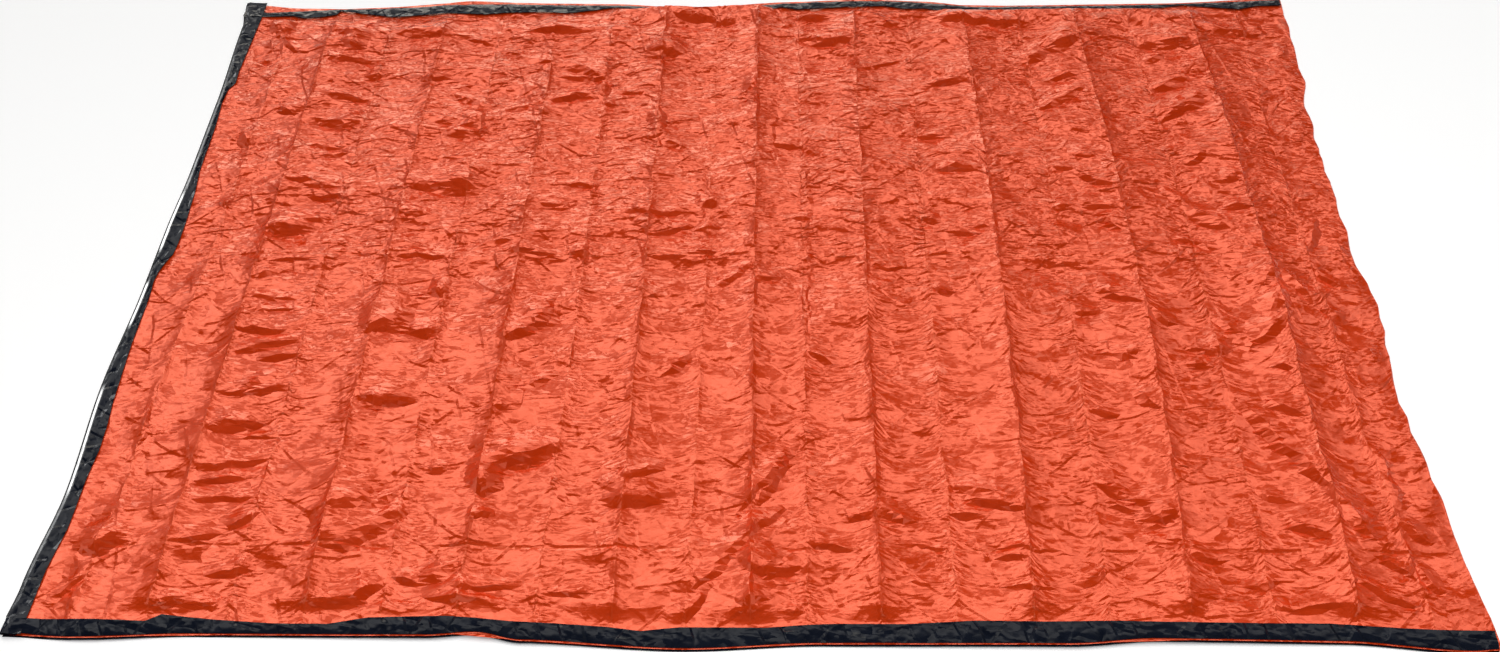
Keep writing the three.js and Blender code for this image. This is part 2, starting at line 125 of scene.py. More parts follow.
# Loose folds with a steep face on the right of the way from first to second end: x, y, x, y, depth of face
LOOSE_FOLDS = np.array([
    # far left
    (-993, 693, -965, 690, 45), (-853, 673, -790, 640, 20), (-735, 673, -625, 663, 25),
    (-620, 653, -525, 618, 10), (-525, 610, -395, 550, 14), (-460, 668, -350, 670, 22),
    (-833, 623, -808, 620, 35), (-870, 578, -745, 570, 14), (-855, 470, -750, 450, 15),
    (-868, 390, -750, 385, 25), (-860, 323, -770, 305, 8), (-770, 523, -745, 523, 15),
    (-653, 505, -608, 520, 12), (-590, 465, -515, 430, 18), (-585, 470, -555, 510, 12),
    (-645, 395, -580, 380, 15), (-550, 380, -525, 400, 25), (-580, 355, -528, 350, 22),
    (-405, 440, -325, 465, 15), (-490, 418, -410, 438, 10), (-580, 280, -525, 290, 10),
    (-825, 285, -750, 290, 12), (-963, 640, -930, 595, 12), (-1030, 565, -970, 575, 10),
    (-918, 430, -890, 410, 18), (-988, 355, -960, 320, 25), (-393, 560, -325, 515, 10),
    # far middle
    (-293, 728, -195, 733, 18), (-193, 715, -90, 703, 18), (-90, 698, -50, 698, 15),
    (-300, 685, -268, 655, 25), (-220, 600, -150, 605, 35), (-355, 670, -305, 675, 12),
    (-385, 565, -298, 510, 10), (-340, 545, -298, 510, 20), (-385, 520, -298, 508, 12),
    (-385, 455, -310, 463, 14), (-302, 460, -300, 500, 18), (-300, 445, -270, 420, 12),
    (-172, 340, -190, 420, 15), (-178, 335, -130, 305, 15), (-285, 465, -200, 470, 8),
    (82, 705, 135, 700, 18), (190, 710, 255, 695, 18), (255, 713, 385, 720, 20),
    (190, 683, 290, 678, 15), (82, 640, 185, 625, 25), (25, 675, 75, 685, 8),
    (107, 465, 132, 465, 6), (80, 440, 140, 440, 8), (190, 530, 290, 575, 10),
    (310, 485, 385, 495, 12), (305, 345, 365, 345, 14), (35, 315, 80, 310, 12),
    (80, 310, 110, 295, 12), (-40, 405, -5, 510, 9),
    # far right
    (335, 705, 585, 690, 20), (405, 735, 515, 740, 30), (610, 725, 735, 740, 15),
    (870, 733, 975, 720, 20), (525, 570, 570, 600, 25), (582, 615, 630, 640, 30),
    (645, 645, 730, 645, 12), (755, 615, 862, 630, 20), (765, 560, 805, 590, 15),
    (530, 495, 630, 540, 14), (760, 475, 835, 520, 22), (835, 540, 875, 550, 25),
    (765, 395, 875, 470, 30), (530, 415, 635, 480, 18), (335, 488, 410, 510, 14),
    (875, 675, 1000, 650, 20), (1008, 650, 1006, 685, 14), (1040, 580, 1050, 625, 16),
    (1020, 490, 1045, 450, 10), (795, 255, 825, 290, 15), (595, 285, 630, 285, 12),
    # middle left
    (-870, 225, -755, 195, 14), (-820, 180, -760, 170, 14), (-632, 210, -575, 212, 32),
    (-575, 235, -520, 210, 50), (-855, 120, -755, 112, 10), (-868, 95, -810, 95, 30),
    (-640, 125, -575, 120, 20), (-645, 100, -575, 100, 10), (-495, 40, -425, 60, 14),
    (-655, 45, -585, 50, 12), (-650, 25, -520, 12, 12), (-865, 5, -760, 5, 6),
    (-430, 30, -330, 12, 10), (-555, -60, -530, -60, 25), (-640, -150, -578, -115, 40),
    (-575, -155, -530, -155, 30), (-875, -160, -760, -155, 14), (-875, -205, -755, -180, 16),
    (-820, -225, -755, -208, 14), (-870, -85, -775, -85, 10), (-865, -115, -765, -115, 8),
    (-873, -35, -810, -15, 12), (-410, -175, -370, -150, 25), (-370, -140, -340, -140, 18),
    (-988, 157, -960, 140, 14),
    # middle
    (-335, 210, -285, 205, 20), (-385, 150, -335, 150, 14), (-240, 130, -105, 135, 14),
    (-185, 75, -105, 100, 12), (-95, 155, -65, 155, 15), (-95, 90, -65, 90, 20),
    (-185, 12, -105, 20, 8), (-105, 25, -65, 33, 15), (-320, 27, -290, 27, 16),
    (-65, -65, 5, 5, 14), (-385, -115, -340, -115, 30), (-385, -145, -340, -145, 18),
    (-140, -255, -100, -200, 20), (100, 115, 97, 250, 8), (72, 120, 100, 110, 12),
    (125, 85, 175, 78, 8), (200, -5, 265, -10, 8), (7, -35, 50, -35, 12),
    (100, -200, 135, -230, 15), (310, -60, 335, -75, 14), (305, 115, 335, 110, 14),
    (340, 245, 385, 255, 14),
    # middle right
    (345, 245, 415, 250, 14), (540, 250, 575, 250, 10), (587, 240, 650, 195, 15),
    (740, 205, 775, 150, 14), (770, 145, 840, 90, 25), (845, 150, 890, 140, 16),
    (850, 215, 880, 225, 16), (590, 150, 655, 135, 10), (615, 130, 655, 85, 14),
    (540, 140, 565, 140, 14), (345, 85, 390, 75, 12), (390, 95, 420, 95, 10),
    (430, -10, 490, -10, 8), (735, 70, 805, 35, 12), (867, -60, 895, -5, 25),
    (870, -115, 895, -55, 28), (825, -190, 895, -125, 22), (905, -10, 950, -90, 20),
    (975, -15, 1020, -65, 12), (960, -105, 995, -130, 14), (980, 35, 1015, 115, 20),
    (590, -60, 665, -95, 16), (670, -105, 705, -155, 14), (715, -195, 775, -200, 12),
    (710, -235, 755, -235, 14), (775, -115, 810, -165, 14), (545, -115, 570, -120, 12),
    (595, -200, 635, -215, 14), (860, -230, 880, -245, 14), (765, -190, 790, -190, 15),
    # near left
    (-860, -302, -755, -282, 16), (-835, -287, -770, -252, 14), (-630, -305, -550, -300, 35),
    (-865, -362, -775, -355, 28), (-810, -390, -750, -390, 8), (-865, -452, -755, -432, 16),
    (-860, -482, -785, -467, 18), (-860, -517, -750, -507, 12), (-855, -592, -795, -577, 16),
    (-785, -567, -750, -542, 16), (-630, -522, -575, -510, 30), (-570, -522, -535, -502, 14),
    (-630, -577, -575, -552, 45), (-575, -562, -525, -532, 25), (-415, -542, -390, -537, 18),
    (-415, -432, -325, -407, 30), (-415, -472, -395, -472, 35), (-410, -327, -385, -327, 14),
    (-505, -452, -465, -452, 12), (-515, -657, -480, -662, 16), (-470, -652, -425, -632, 22),
    (-795, -647, -735, -642, 16), (-855, -707, -815, -697, 14), (-815, -702, -750, -717, 14),
    (-585, -702, -540, -662, 25), (-625, -702, -585, -702, 14), (-970, -437, -970, -292, 6),
    (-995, -602, -945, -577, 30), (-1020, -712, -975, -637, 10), (-545, -722, -450, -712, 16),
    (-480, -687, -325, -712, 12), (-470, -677, -325, -672, 12),
    # near middle
    (-385, -437, -300, -402, 30), (-355, -277, -320, -257, 14), (-190, -472, -135, -447, 18),
    (-215, -512, -120, -495, 28), (15, -522, 65, -422, 16), (-25, -552, 85, -387, 15),
    (-45, -622, 60, -517, 16), (-85, -672, -15, -602, 15), (-105, -727, -45, -662, 14),
    (15, -637, 45, -612, 25), (45, -632, 80, -627, 16), (95, -582, 160, -602, 14),
    (155, -542, 195, -532, 16), (200, -527, 245, -552, 20), (310, -472, 385, -502, 16),
    (310, -537, 355, -537, 14), (205, -592, 310, -592, 5), (40, -662, 95, -662, 5),
    (205, -657, 305, -657, 5), (-5, -687, 30, -687, 12), (-295, -677, -220, -675, 10),
    (-385, -712, -320, -722, 18), (60, -702, 85, -702, 14), (90, -722, 160, -722, 8),
    # near right
    (620, -282, 655, -327, 18), (545, -322, 590, -342, 12), (765, -277, 912, -517, 20),
    (835, -297, 880, -347, 16),
    (885, -492, 930, -567, 25), (1000, -522, 985, -387, 14), (540, -467, 585, -497, 20),
    (585, -495, 645, -532, 22), (600, -542, 645, -542, 18), (550, -502, 590, -532, 12),
    (815, -537, 870, -577, 18), (780, -487, 825, -507, 12), (335, -502, 420, -522, 18),
    (350, -595, 490, -612, 5), (645, -597, 705, -622, 12), (595, -582, 645, -582, 12),
    (380, -612, 415, -612, 14), (715, -667, 790, -652, 12), (765, -705, 865, -695, 15),
    (695, -707, 740, -707, 12), (875, -652, 975, -697, 14), (640, -682, 750, -687, 6),
    (375, -667, 450, -667, 10), (490, -657, 530, -637, 14), (930, -602, 980, -647, 12),
    (985, -542, 1020, -582, 14), (990, -622, 1020, -672, 14),
    # second lines beside the packing folds
    (-585, -250, -562, 20, 6), (-618, -480, -585, -250, 6), (-343, -160, -328, 0, 6),
    (-385, -420, -343, -160, 6), (32, 250, 35, 560, 6), (583, -100, 580, 230, 6),
    (600, -260, 583, -100, 6), (815, -60, 805, 50, 6), (-93, 60, -93, 250, 6),
    (332, -200, 332, 230, 6), (98, -190, 98, 110, 6), (-790, 560, -790, 735, 6),
], dtype=float)
FACE_SLOPE = 0.64
FACE_SHARE = 0.72
BACK_RUN = 2.4
HIGHEST_FOLD = 25.0
FOLD_TIP = 0.6
FOLD_TAPER = 0.3
FOLD_END_DEPTH = 0.25
FOLD_DEEPER = 1.05
FOLD_UNEVEN = 0.3
FOLD_MARGIN = 30.0
RAGGED = 6.0
RAGGED_FINE = 1.5

# Unevenness of the edges: place along the edge, how far it strays outwards
NEAR_EDGE = [(-1065, -4), (-955, 2), (-795, -6), (-455, -5), (-385, -10), (-315, 2), (-85, 12), (115, 2),
             (465, 1), (590, -8), (850, -7), (1025, 6), (1065, 3)]
FAR_EDGE = [(-1065, 6), (-945, -8), (-865, -10), (-700, -3), (-600, 10), (-470, 3), (-295, 2), (-150, -10),
            (65, 5), (215, 11), (335, 6), (445, -7), (825, -4), (1065, 10)]
MOUTH_EDGE = [(-760, 5), (-672, -2), (-502, -14), (-280, -5), (-65, -12), (85, -12), (240, -16), (440, -15),
              (690, -8), (760, 3)]
FOOT_EDGE = [(-760, 3), (-672, -3), (-552, -11), (-287, -25), (-95, -11), (10, -21), (420, -19), (520, -4),
             (760, 0)]
NEAR_LIFT = [(-1020, 0), (-940, 3), (-795, 0), (-385, 4), (-85, 0), (590, 4), (1065, 0)]
FAR_LIFT = [(-820, 0), (-600, 4), (-150, 0), (215, 4), (445, 0), (1065, 3)]

# Where the slack film by the far seam stands up and hangs over the tape: x, height
FAR_PUFF = [(-330, 0), (-280, 9), (-190, 16), (-60, 17), (10, 12), (45, 0), (330, 0), (400, 8), (560, 11),
            (760, 9), (880, 5), (930, 0)]
PUFF_Y = 716.0
PUFF_REACH = 30.0
PUFF_OVERHANG = 1.3

# Small crumpling: heights from wide to fine, how it bows, and how calm it is away from the packing folds
WIDE_CRUMPLE = 3.6
MIDDLE_CRUMPLE = 3.0
RIPPLE_HEIGHT = 1.5
FINE_CRUMPLE = 0.9
CRUMPLE_SHARE = 1.3
NEAR_CRUMPLE_LOSS = 0.45
LOSS_START = 60.0
LOSS_RUN = 240.0
BOW_REACH = 150.0
NEAR_BOW = 1.3
BOW_MEAN = 0.75
BOW_SPREAD = 0.75
ARC_WANDER = 5.0
BY_FOLD_REACH = 42.0
NEAR_CALM = 0.78
FAR_CALM = 0.35
NEAR_UNREST = 0.7
UNREST_MEAN = 0.75
UNREST_SPREAD = 0.55
TIGHT_REST = 0.7


def smooth_step(share):
    share = np.clip(share, 0.0, 1.0)
    return share * share * (3.0 - 2.0 * share)


def blend(first, second, share):
    return first + (second - first) * share


def fade(distance, reach):
    """One at a line, falling evenly to nothing at its reach."""
    return np.clip(1.0 - distance / reach, 0.0, 1.0)


def read_table(table, at):
    """Value of a table of places and values, rounded smoothly from row to row."""
    places = np.array([row[0] for row in table], dtype=float)
    values = np.array([row[1] for row in table], dtype=float)
    after = np.clip(np.searchsorted(places, at), 1, len(places) - 1)
    share = (at - places[after - 1]) / (places[after] - places[after - 1])
    return blend(values[after - 1], values[after], smooth_step(share))


def put_in_place(u, v, z):
    """Moves points of the even rectangle to where the uneven edges put them."""
    felt_mouth = 1.0 - smooth_step((u + HALF_LENGTH) / WOBBLE_REACH)
    felt_foot = 1.0 - smooth_step((HALF_LENGTH - u) / WOBBLE_REACH)
    felt_near = 1.0 - smooth_step((v + HALF_DEPTH) / WOBBLE_REACH)
    felt_far = 1.0 - smooth_step((HALF_DEPTH - v) / WOBBLE_REACH)
    foot_edge = read_table(FOOT_EDGE, v) + FOOT_RAGGED * facets(v / FOOT_RAGGED_RUN, 0.0, 33)
    x = u - read_table(MOUTH_EDGE, v) * felt_mouth + foot_edge * felt_foot
    y = v - read_table(NEAR_EDGE, u) * felt_near + read_table(FAR_EDGE, u) * felt_far
    return np.stack([x, y, z], axis=-1)


TRIANGLE_SKEW = 0.3660254


def facets(x, y, seed):
    """Chance heights from -1 to 1 on a net of triangles, flat on each triangle as in crumpled film.

    Places are given in triangles, so callers divide by a triangle's size. Each seed is a net of its own."""
    chance = np.random.RandomState(seed)
    shuffled = chance.permutation(256)
    heights = chance.uniform(-1.0, 1.0, 256)
    skew = (x + y) * TRIANGLE_SKEW
    i = np.floor(x + skew).astype(int)
    j = np.floor(y + skew).astype(int)
    across = x + skew - i
    up = y + skew - j
    wide = across > up

    def corner(i_place, j_place):
        return heights[shuffled[(shuffled[i_place & 255] + j_place) & 255]]

    middle = corner(i + wide, j + ~wide)
    small = np.minimum(across, up)
    large = np.maximum(across, up)
    return corner(i, j) * (1.0 - large) + middle * (large - small) + corner(i + 1, j + 1) * small


def fold_frame(px, py, fold):
    """Distance to the right of one loose fold's crest, depth of its face there, and taper to its ends.

    Seen from the near side a face looks deeper than it is, as its crest stands up."""
    x0, y0, x1, y1, seen = fold
    face = FACE_SHARE * seen
    y0 = y0 - seen + face
    y1 = y1 - seen + face
    length = math.hypot(x1 - x0, y1 - y0)
    along = ((px - x0) * (x1 - x0) + (py - y0) * (y1 - y0)) / (length * length)
    right = ((px - x0) * (y1 - y0) - (py - y0) * (x1 - x0)) / length
    tip = FOLD_TIP * face / length
    taper = np.clip(np.minimum(along + tip, 1.0 + tip - along) / (FOLD_TAPER + tip), 0.0, 1.0)
    uneven = FOLD_DEEPER + FOLD_UNEVEN * facets(px / 24.0, py / 60.0, 27)
    return right, face * blend(FOLD_END_DEPTH, 1.0, taper) * uneven, taper


def fold_heights(px, py, fold):
    """Height of one loose fold: a steep face, a gentle back and tapered ends."""
    right, depth, taper = fold_frame(px, py, fold)
    face = FACE_SHARE * fold[4]
    profile = np.where(right > 0.0, 1.0 - right / depth, 1.0 + right / (BACK_RUN * face))
    return FACE_SLOPE * face * taper * np.clip(profile, 0.0, 1.0)


def ragged(x, y):
    """Coordinates shifted by chance, so that loose folds get uneven, angular outlines."""
    ragged_x = x + RAGGED * facets(x / 36.0 + 1.7, y / 26.0, 17)
    ragged_y = y + RAGGED * facets(x / 30.0, y / 24.0 + 4.4, 18)
    ragged_y = ragged_y + RAGGED_FINE * facets(x / 13.0, y / 9.0, 19)
    return ragged_x, ragged_y


def fold_rows(fold):
    """First and last row of the mesh that a loose fold reaches."""
    margin = 2.0 * BACK_RUN * fold[4] + FOLD_MARGIN
    first = np.searchsorted(rows, min(fold[1], fold[3]) - margin)
    return slice(first, np.searchsorted(rows, max(fold[1], fold[3]) + margin))


# Bag body: mesh of the film
# The upper layer lies on the packing folds and loose folds above, the foot is a small round fold, and the
# under layer lies flat on the ground. Lines of the mesh follow the packing folds and crowd beside them.
COLUMN_MARKS = np.array([0.0, 0.03, 0.07, 0.13, 0.22, 0.33, 0.44, 0.56, 0.67, 0.78, 0.87, 0.93, 0.97])
COLUMN_COUNT = 20
ROW_COUNT = 341
STRAY = 0.38
DRAWN_REACH = 0.55
DRAWN_TAPER = 0.05
FACE_TAPER = 0.1
FACE_MARGIN = 1.0
ON_CREASE = 0.01
UNDER_RIPPLE = 0.5
NEAR_TIGHT = 0.5
NEAR_TIGHT_RUN = 200.0

rows = np.linspace(-HALF_DEPTH, HALF_DEPTH, ROW_COUNT)
cross_rows = [int(np.argmin(np.abs(rows - fold[0]))) for fold in CROSS_FOLDS]
rows[cross_rows] = [fold[0] for fold in CROSS_FOLDS]
columns = np.concatenate([k + COLUMN_MARKS for k in range(COLUMN_COUNT)] + [np.array([COLUMN_COUNT])])
column = np.minimum(np.floor(columns).astype(int), COLUMN_COUNT - 1)
chance = np.random.RandomState(5)
stray = chance.uniform(-STRAY, STRAY, (2, ROW_COUNT, len(columns)))
column_gap = np.minimum(np.diff(columns, prepend=-1.0), np.diff(columns, append=COLUMN_COUNT + 1.0))
column_gap[::len(COLUMN_MARKS)] = 0.0
across = columns - column + stray[0] * column_gap

depth_share = rows[:, None] / HALF_DEPTH
far_x, middle_x, near_x = PACKING_FOLDS[:, 0], PACKING_FOLDS[:, 1], PACKING_FOLDS[:, 2]
bowed = middle_x + 0.5 * (far_x - near_x) * depth_share
bowed = bowed + (0.5 * (far_x + near_x) - middle_x) * depth_share ** 2
far_rise, middle_rise, near_rise = PACKING_FOLDS[:, 3], PACKING_FOLDS[:, 4], PACKING_FOLDS[:, 5]
crease_rise = np.where(depth_share > 0.0, blend(middle_rise, far_rise, depth_share),
                       blend(middle_rise, near_rise, -depth_share))
edge_column = np.ones((ROW_COUNT, 1))
crease_places = np.arange(1, COLUMN_COUNT)[None, :] * WANDER_STEP
bowed = bowed + CREASE_WANDER * facets(crease_places, rows[:, None] / WANDER_RUN, 15)
crease_x = np.hstack([-HALF_LENGTH * edge_column, bowed, HALF_LENGTH * edge_column])
crease_rise = np.hstack([EDGE_RISE * edge_column, crease_rise, EDGE_RISE * edge_column])
pinch = np.concatenate([[0.0], PACKING_FOLDS[:, 6], [0.0]])[None, :]
pinch_places = np.arange(COLUMN_COUNT + 1)[None, :] * PINCH_STEP
pinch = pinch * (PINCH_MEAN + PINCH_SPREAD * facets(pinch_places, rows[:, None] / PINCH_RUN, 16))

# Along its length a packing fold leans now to the right and now to the left, as a low pleat
pleat = PLEAT_SHARPNESS * facets(pinch_places + 0.6, rows[:, None] / PLEAT_RUN, 24)
pleat = np.clip(pleat, -1.0, 1.0)
pleat[:, [0, COLUMN_COUNT]] = 0.0
pleat_right = PLEAT_RISE * np.maximum(pleat, 0.0)
pleat_left = PLEAT_LEFT_SHARE * PLEAT_RISE * np.maximum(-pleat, 0.0)

u = blend(crease_x[:, column], crease_x[:, column + 1], across)
row_gap = np.full((ROW_COUNT, 1), rows[1] - rows[0])
row_gap[[0, -1] + cross_rows] = 0.0
v = rows[:, None] + stray[1] * row_gap
column_width = crease_x[:, column + 1] - crease_x[:, column]

# Points close to a loose fold's crest or foot are drawn onto it, so that its edges are sharp
base_u = blend(crease_x[:, column], crease_x[:, column + 1], columns - column)
base_v = np.repeat(rows[:, None], len(columns), axis=1)
free_u = DRAWN_REACH * column_gap * column_width
free_v = np.repeat(DRAWN_REACH * row_gap, len(columns), axis=1)
for fold in LOOSE_FOLDS:
    part = fold_rows(fold)
    run = np.array([fold[2] - fold[0], fold[3] - fold[1]])
    run = run / np.linalg.norm(run)
    for line in (0.0, 1.0):
        right, depth, taper = fold_frame(*ragged(u[part], v[part]), fold)
        right = right - line * depth
        reach = abs(run[0]) * free_v[part] + abs(run[1]) * free_u[part]
        drawn = np.where((taper > DRAWN_TAPER) & (np.abs(right) < reach), right, 0.0)
        u[part] = np.clip(u[part] - drawn * run[1], base_u[part] - free_u[part], base_u[part] + free_u[part])
        v[part] = np.clip(v[part] + drawn * run[0], base_v[part] - free_v[part], base_v[part] + free_v[part])
across = (u - crease_x[:, column]) / column_width
from_left = across * column_width
from_right = (1.0 - across) * column_width
relief = FOLD_STAND + blend(crease_rise[:, column], crease_rise[:, column + 1], across)
relief = relief - COLUMN_SAG * (1.0 - np.abs(2.0 * across - 1.0) ** SAG_POWER)
relief += PINCH_SHARE * pinch[:, column] * fade(from_left, CREASE_REACH)
relief += PINCH_SHARE * pinch[:, column + 1] * fade(from_right, CREASE_REACH)
relief += pleat_right[:, column] * fade(from_left, PLEAT_FACE)
relief += pleat_left[:, column] * fade(from_left, PLEAT_BACK)
relief += pleat_right[:, column + 1] * fade(from_right, PLEAT_BACK)
relief += pleat_left[:, column + 1] * fade(from_right, PLEAT_FACE)
for fold_y, fold_rise, fold_reach in CROSS_FOLDS:
    relief += fold_rise * fade(np.abs(v - fold_y), fold_reach)
    broken = CROSS_MEAN + CROSS_SPREAD * facets(u / CROSS_RUN, v / CROSS_WIDTH, 20)
    relief += CROSS_PINCH * broken * fade(np.abs(v - fold_y), CREASE_REACH)

loose = np.zeros_like(u)
drawn_tight = np.zeros_like(u)
for fold in LOOSE_FOLDS:
    part = fold_rows(fold)
    place = ragged(u[part], v[part])
    loose[part] += fold_heights(*place, fold)
    right, depth, taper = fold_frame(*place, fold)
    on_face = (taper > FACE_TAPER) & (right > -FACE_MARGIN) & (right < depth + FACE_MARGIN)
    drawn_tight[part] = np.maximum(drawn_tight[part], np.where(on_face, 1.0, 0.0))
loose = HIGHEST_FOLD * np.tanh(loose / HIGHEST_FOLD)

middle_fold_y = CROSS_FOLDS[1][0]
bow_sign = np.clip((v - middle_fold_y) / BOW_REACH, -1.0, 1.0)
bow = RIPPLE_BOW[column] * np.where(v < middle_fold_y, NEAR_BOW, 1.0)
bow = bow * (BOW_MEAN + BOW_SPREAD * facets(column * 2.3, v / 90.0, 25))
arc = bow * (1.0 - np.abs(2.0 * across - 1.0) ** 3) * bow_sign
arc += ARC_WANDER * facets(u / 60.0, v / 45.0, 26)
ripple_y = v - arc
nearest = np.minimum(from_left, from_right)
by_fold = fade(nearest, BY_FOLD_REACH)
calm = np.where(v < middle_fold_y, NEAR_CALM, FAR_CALM)
strength = RIPPLE_STRENGTH[column] * (1.0 - calm + calm * by_fold)
lay_columns = column + across
unrest = UNREST_MEAN + UNREST_SPREAD * facets(u / 160.0, v / 90.0, 10)
unrest = unrest * (1.0 - TIGHT_REST * drawn_tight)
unrest = unrest * np.where(v < middle_fold_y, NEAR_UNREST, 1.0)
crumple = WIDE_CRUMPLE * facets(u / 130.0 + 3.1, v / 80.0 + 7.7, 11)
crumple += MIDDLE_CRUMPLE * facets(u / 70.0 + 0.3 * v / 70.0, v / 38.0, 12)
crumple += RIPPLE_HEIGHT * strength * unrest * facets(lay_columns * 2.2, ripple_y / 17.0, 13)
crumple += FINE_CRUMPLE * unrest * facets(lay_columns * 5.0 + ripple_y / 90.0, ripple_y / 10.0, 14)
calmer = NEAR_CRUMPLE_LOSS * smooth_step((middle_fold_y - v - LOSS_START) / LOSS_RUN)
relief += loose + crumple * (CRUMPLE_SHARE - calmer)

foot_share = smooth_step((HALF_LENGTH - u) / FOOT_CALM)
seam_share = 1.0 - smooth_step((HALF_DEPTH - np.abs(v) - SEAM_BAND) / SEAM_RAMP)
mouth_share = 1.0 - smooth_step((u + HALF_LENGTH - MOUTH_BAND) / MOUTH_RAMP)
near_share = np.where(v < 0.0, seam_share, 0.0)
far_share = np.where(v > 0.0, seam_share, 0.0)
lift = read_table(NEAR_LIFT, u) * near_share + read_table(FAR_LIFT, u) * far_share
upper_z = np.maximum(UPPER_LIE + relief * foot_share, LOWEST_LIE)
upper_z = blend(upper_z, SEAM_LIE, seam_share)
upper_z = blend(upper_z, MOUTH_LIE, mouth_share) + lift
weld_share = smooth_step((np.abs(v) - HALF_DEPTH + WELD_WIDTH) / WELD_WIDTH)
upper_z = blend(upper_z, WELD_LIE + lift, weld_share)

puff = read_table(FAR_PUFF, u) * fade(np.abs(v - PUFF_Y), PUFF_REACH)
upper_z = upper_z + puff
upper = put_in_place(u, v, upper_z)
upper[..., 1] += PUFF_OVERHANG * puff

# The round of the foot, then the under layer from the foot back to the mouth
FOOT_ROUND = [(1.2, 0.82), (2.0, 0.5), (1.2, 0.18)]
foot_edge = upper[:, -1, :]
foot_points = []
for outwards, share in FOOT_ROUND:
    point = foot_edge.copy()
    point[:, 0] += outwards
    point[:, 2] = blend(UNDER_LIE, foot_edge[:, 2], share)
    foot_points.append(point)
under_u = crease_x[:, ::-1]
under_v = np.repeat(rows[:, None], COLUMN_COUNT + 1, axis=1)
under_border = np.maximum(
    1.0 - smooth_step((HALF_DEPTH - np.abs(under_v) - SEAM_BAND) / SEAM_RAMP),
    1.0 - smooth_step((under_u + HALF_LENGTH - MOUTH_BAND) / MOUTH_RAMP),
)
under_near = np.where(under_v < 0.0, under_border, 0.0)
under_far = np.where(under_v > 0.0, under_border, 0.0)
under_lift = read_table(NEAR_LIFT, under_u) * under_near + read_table(FAR_LIFT, under_u) * under_far
under_weld = smooth_step((np.abs(under_v) - HALF_DEPTH + WELD_WIDTH) / WELD_WIDTH)
under_z = blend(UNDER_LIE, UNDER_SEAM_LIE, under_border)
under_z = blend(under_z, WELD_LIE - WELD_GAP, under_weld) + under_lift
under = put_in_place(under_u, under_v, under_z)
film_points = np.concatenate([upper, np.stack(foot_points, axis=1), under], axis=1)

film_lay = np.zeros(film_points.shape[:2] + (2,))
film_lay[:, :len(columns), 0] = u
film_lay[:, :len(columns), 1] = ripple_y
film_lay[:, len(columns):, 0] = 2.0 * HALF_LENGTH - film_points[:, len(columns):, 0]
film_lay[:, len(columns):, 1] = film_points[:, len(columns):, 1]
film_ripple = np.full(film_points.shape[:2], UNDER_RIPPLE)
film_ripple[:, :len(columns)] = strength
film_tight = np.zeros(film_points.shape[:2])
near_tight = NEAR_TIGHT * smooth_step((middle_fold_y - v) / NEAR_TIGHT_RUN)
film_tight[:, :len(columns)] = np.maximum(drawn_tight, near_tight)
film_crease = np.zeros(film_points.shape[:2])
film_crease[:, :len(columns)] = np.where(nearest < ON_CREASE, 1.0, 0.0)
film_crease[cross_rows, :len(columns)] = 1.0


def sheet_object(name, points, lay, smooth=True, **marks):
    """Mesh of a sheet from a grid of points, with its flat lay as UV in metres and named marks."""
    count_rows, count_columns = points.shape[:2]
    index = np.arange(count_rows * count_columns).reshape(count_rows, count_columns)
    a, b = index[:-1, :-1].ravel(), index[:-1, 1:].ravel()
    c, d = index[1:, 1:].ravel(), index[1:, :-1].ravel()
    height = points[..., 2].ravel()
    rising = (np.abs(height[a] - height[c]) < np.abs(height[b] - height[d]))[:, None]
    first = np.where(rising, np.stack([a, b, c], axis=1), np.stack([a, b, d], axis=1))
    second = np.where(rising, np.stack([a, c, d], axis=1), np.stack([b, c, d], axis=1))
    faces = np.concatenate([first, second])
    mesh = bpy.data.meshes.new(name)
    mesh.vertices.add(index.size)
    mesh.vertices.foreach_set("co", ((points + CENTRING) * MM).reshape(-1))
    mesh.loops.add(faces.size)
    mesh.loops.foreach_set("vertex_index", faces.reshape(-1))
    mesh.polygons.add(len(faces))
    mesh.polygons.foreach_set("loop_start", np.arange(0, faces.size, 3))
    mesh.polygons.foreach_set("loop_total", np.full(len(faces), 3))
    mesh.update(calc_edges=True)
    mesh.validate()
    if smooth:
        mesh.shade_smooth()
    else:
        mesh.shade_flat()
    layer = mesh.uv_layers.new(name="lay")
    flat = (lay * MM).reshape(-1, 2)[faces.reshape(-1)]
    layer.data.foreach_set("uv", flat.reshape(-1))
    for mark, values in marks.items():
        attribute = mesh.attributes.new(mark, "FLOAT", "POINT")
        attribute.data.foreach_set("value", np.ascontiguousarray(values).reshape(-1))
    piece = bpy.data.objects.new(name, mesh)
    bpy.context.scene.collection.objects.link(piece)
    return piece


film = sheet_object("film_sheet", film_points, film_lay, smooth=False,
                    ripple=film_ripple, crease=film_crease, tight=film_tight)


# Bag body: finish of the film
# Orange film with a thin metal coating: deep red orange where it mirrors the dark side of the room, pale and
# slightly pink where its clear skin mirrors the bright side. It has fine crinkles, and its packing folds are
# worn paler.
def link(source, target):
    target.id_data.links.new(source, target)


def add_node(tree, kind, **settings):
    node = tree.nodes.new(kind)
    for name, value in settings.items():
        setattr(node, name, value)
    return node


def set_inputs(node, **values):
    for name, value in values.items():
        node.inputs[name.replace("_", " ")].default_value = value
    return node


def calculate(tree, operation, first, second):
    node = add_node(tree, "ShaderNodeMath", operation=operation)
    for socket, value in zip(node.inputs, (first, second)):
        if isinstance(value, bpy.types.NodeSocket):
            link(value, socket)
        else:
            socket.default_value = value
    return node.outputs["Value"]


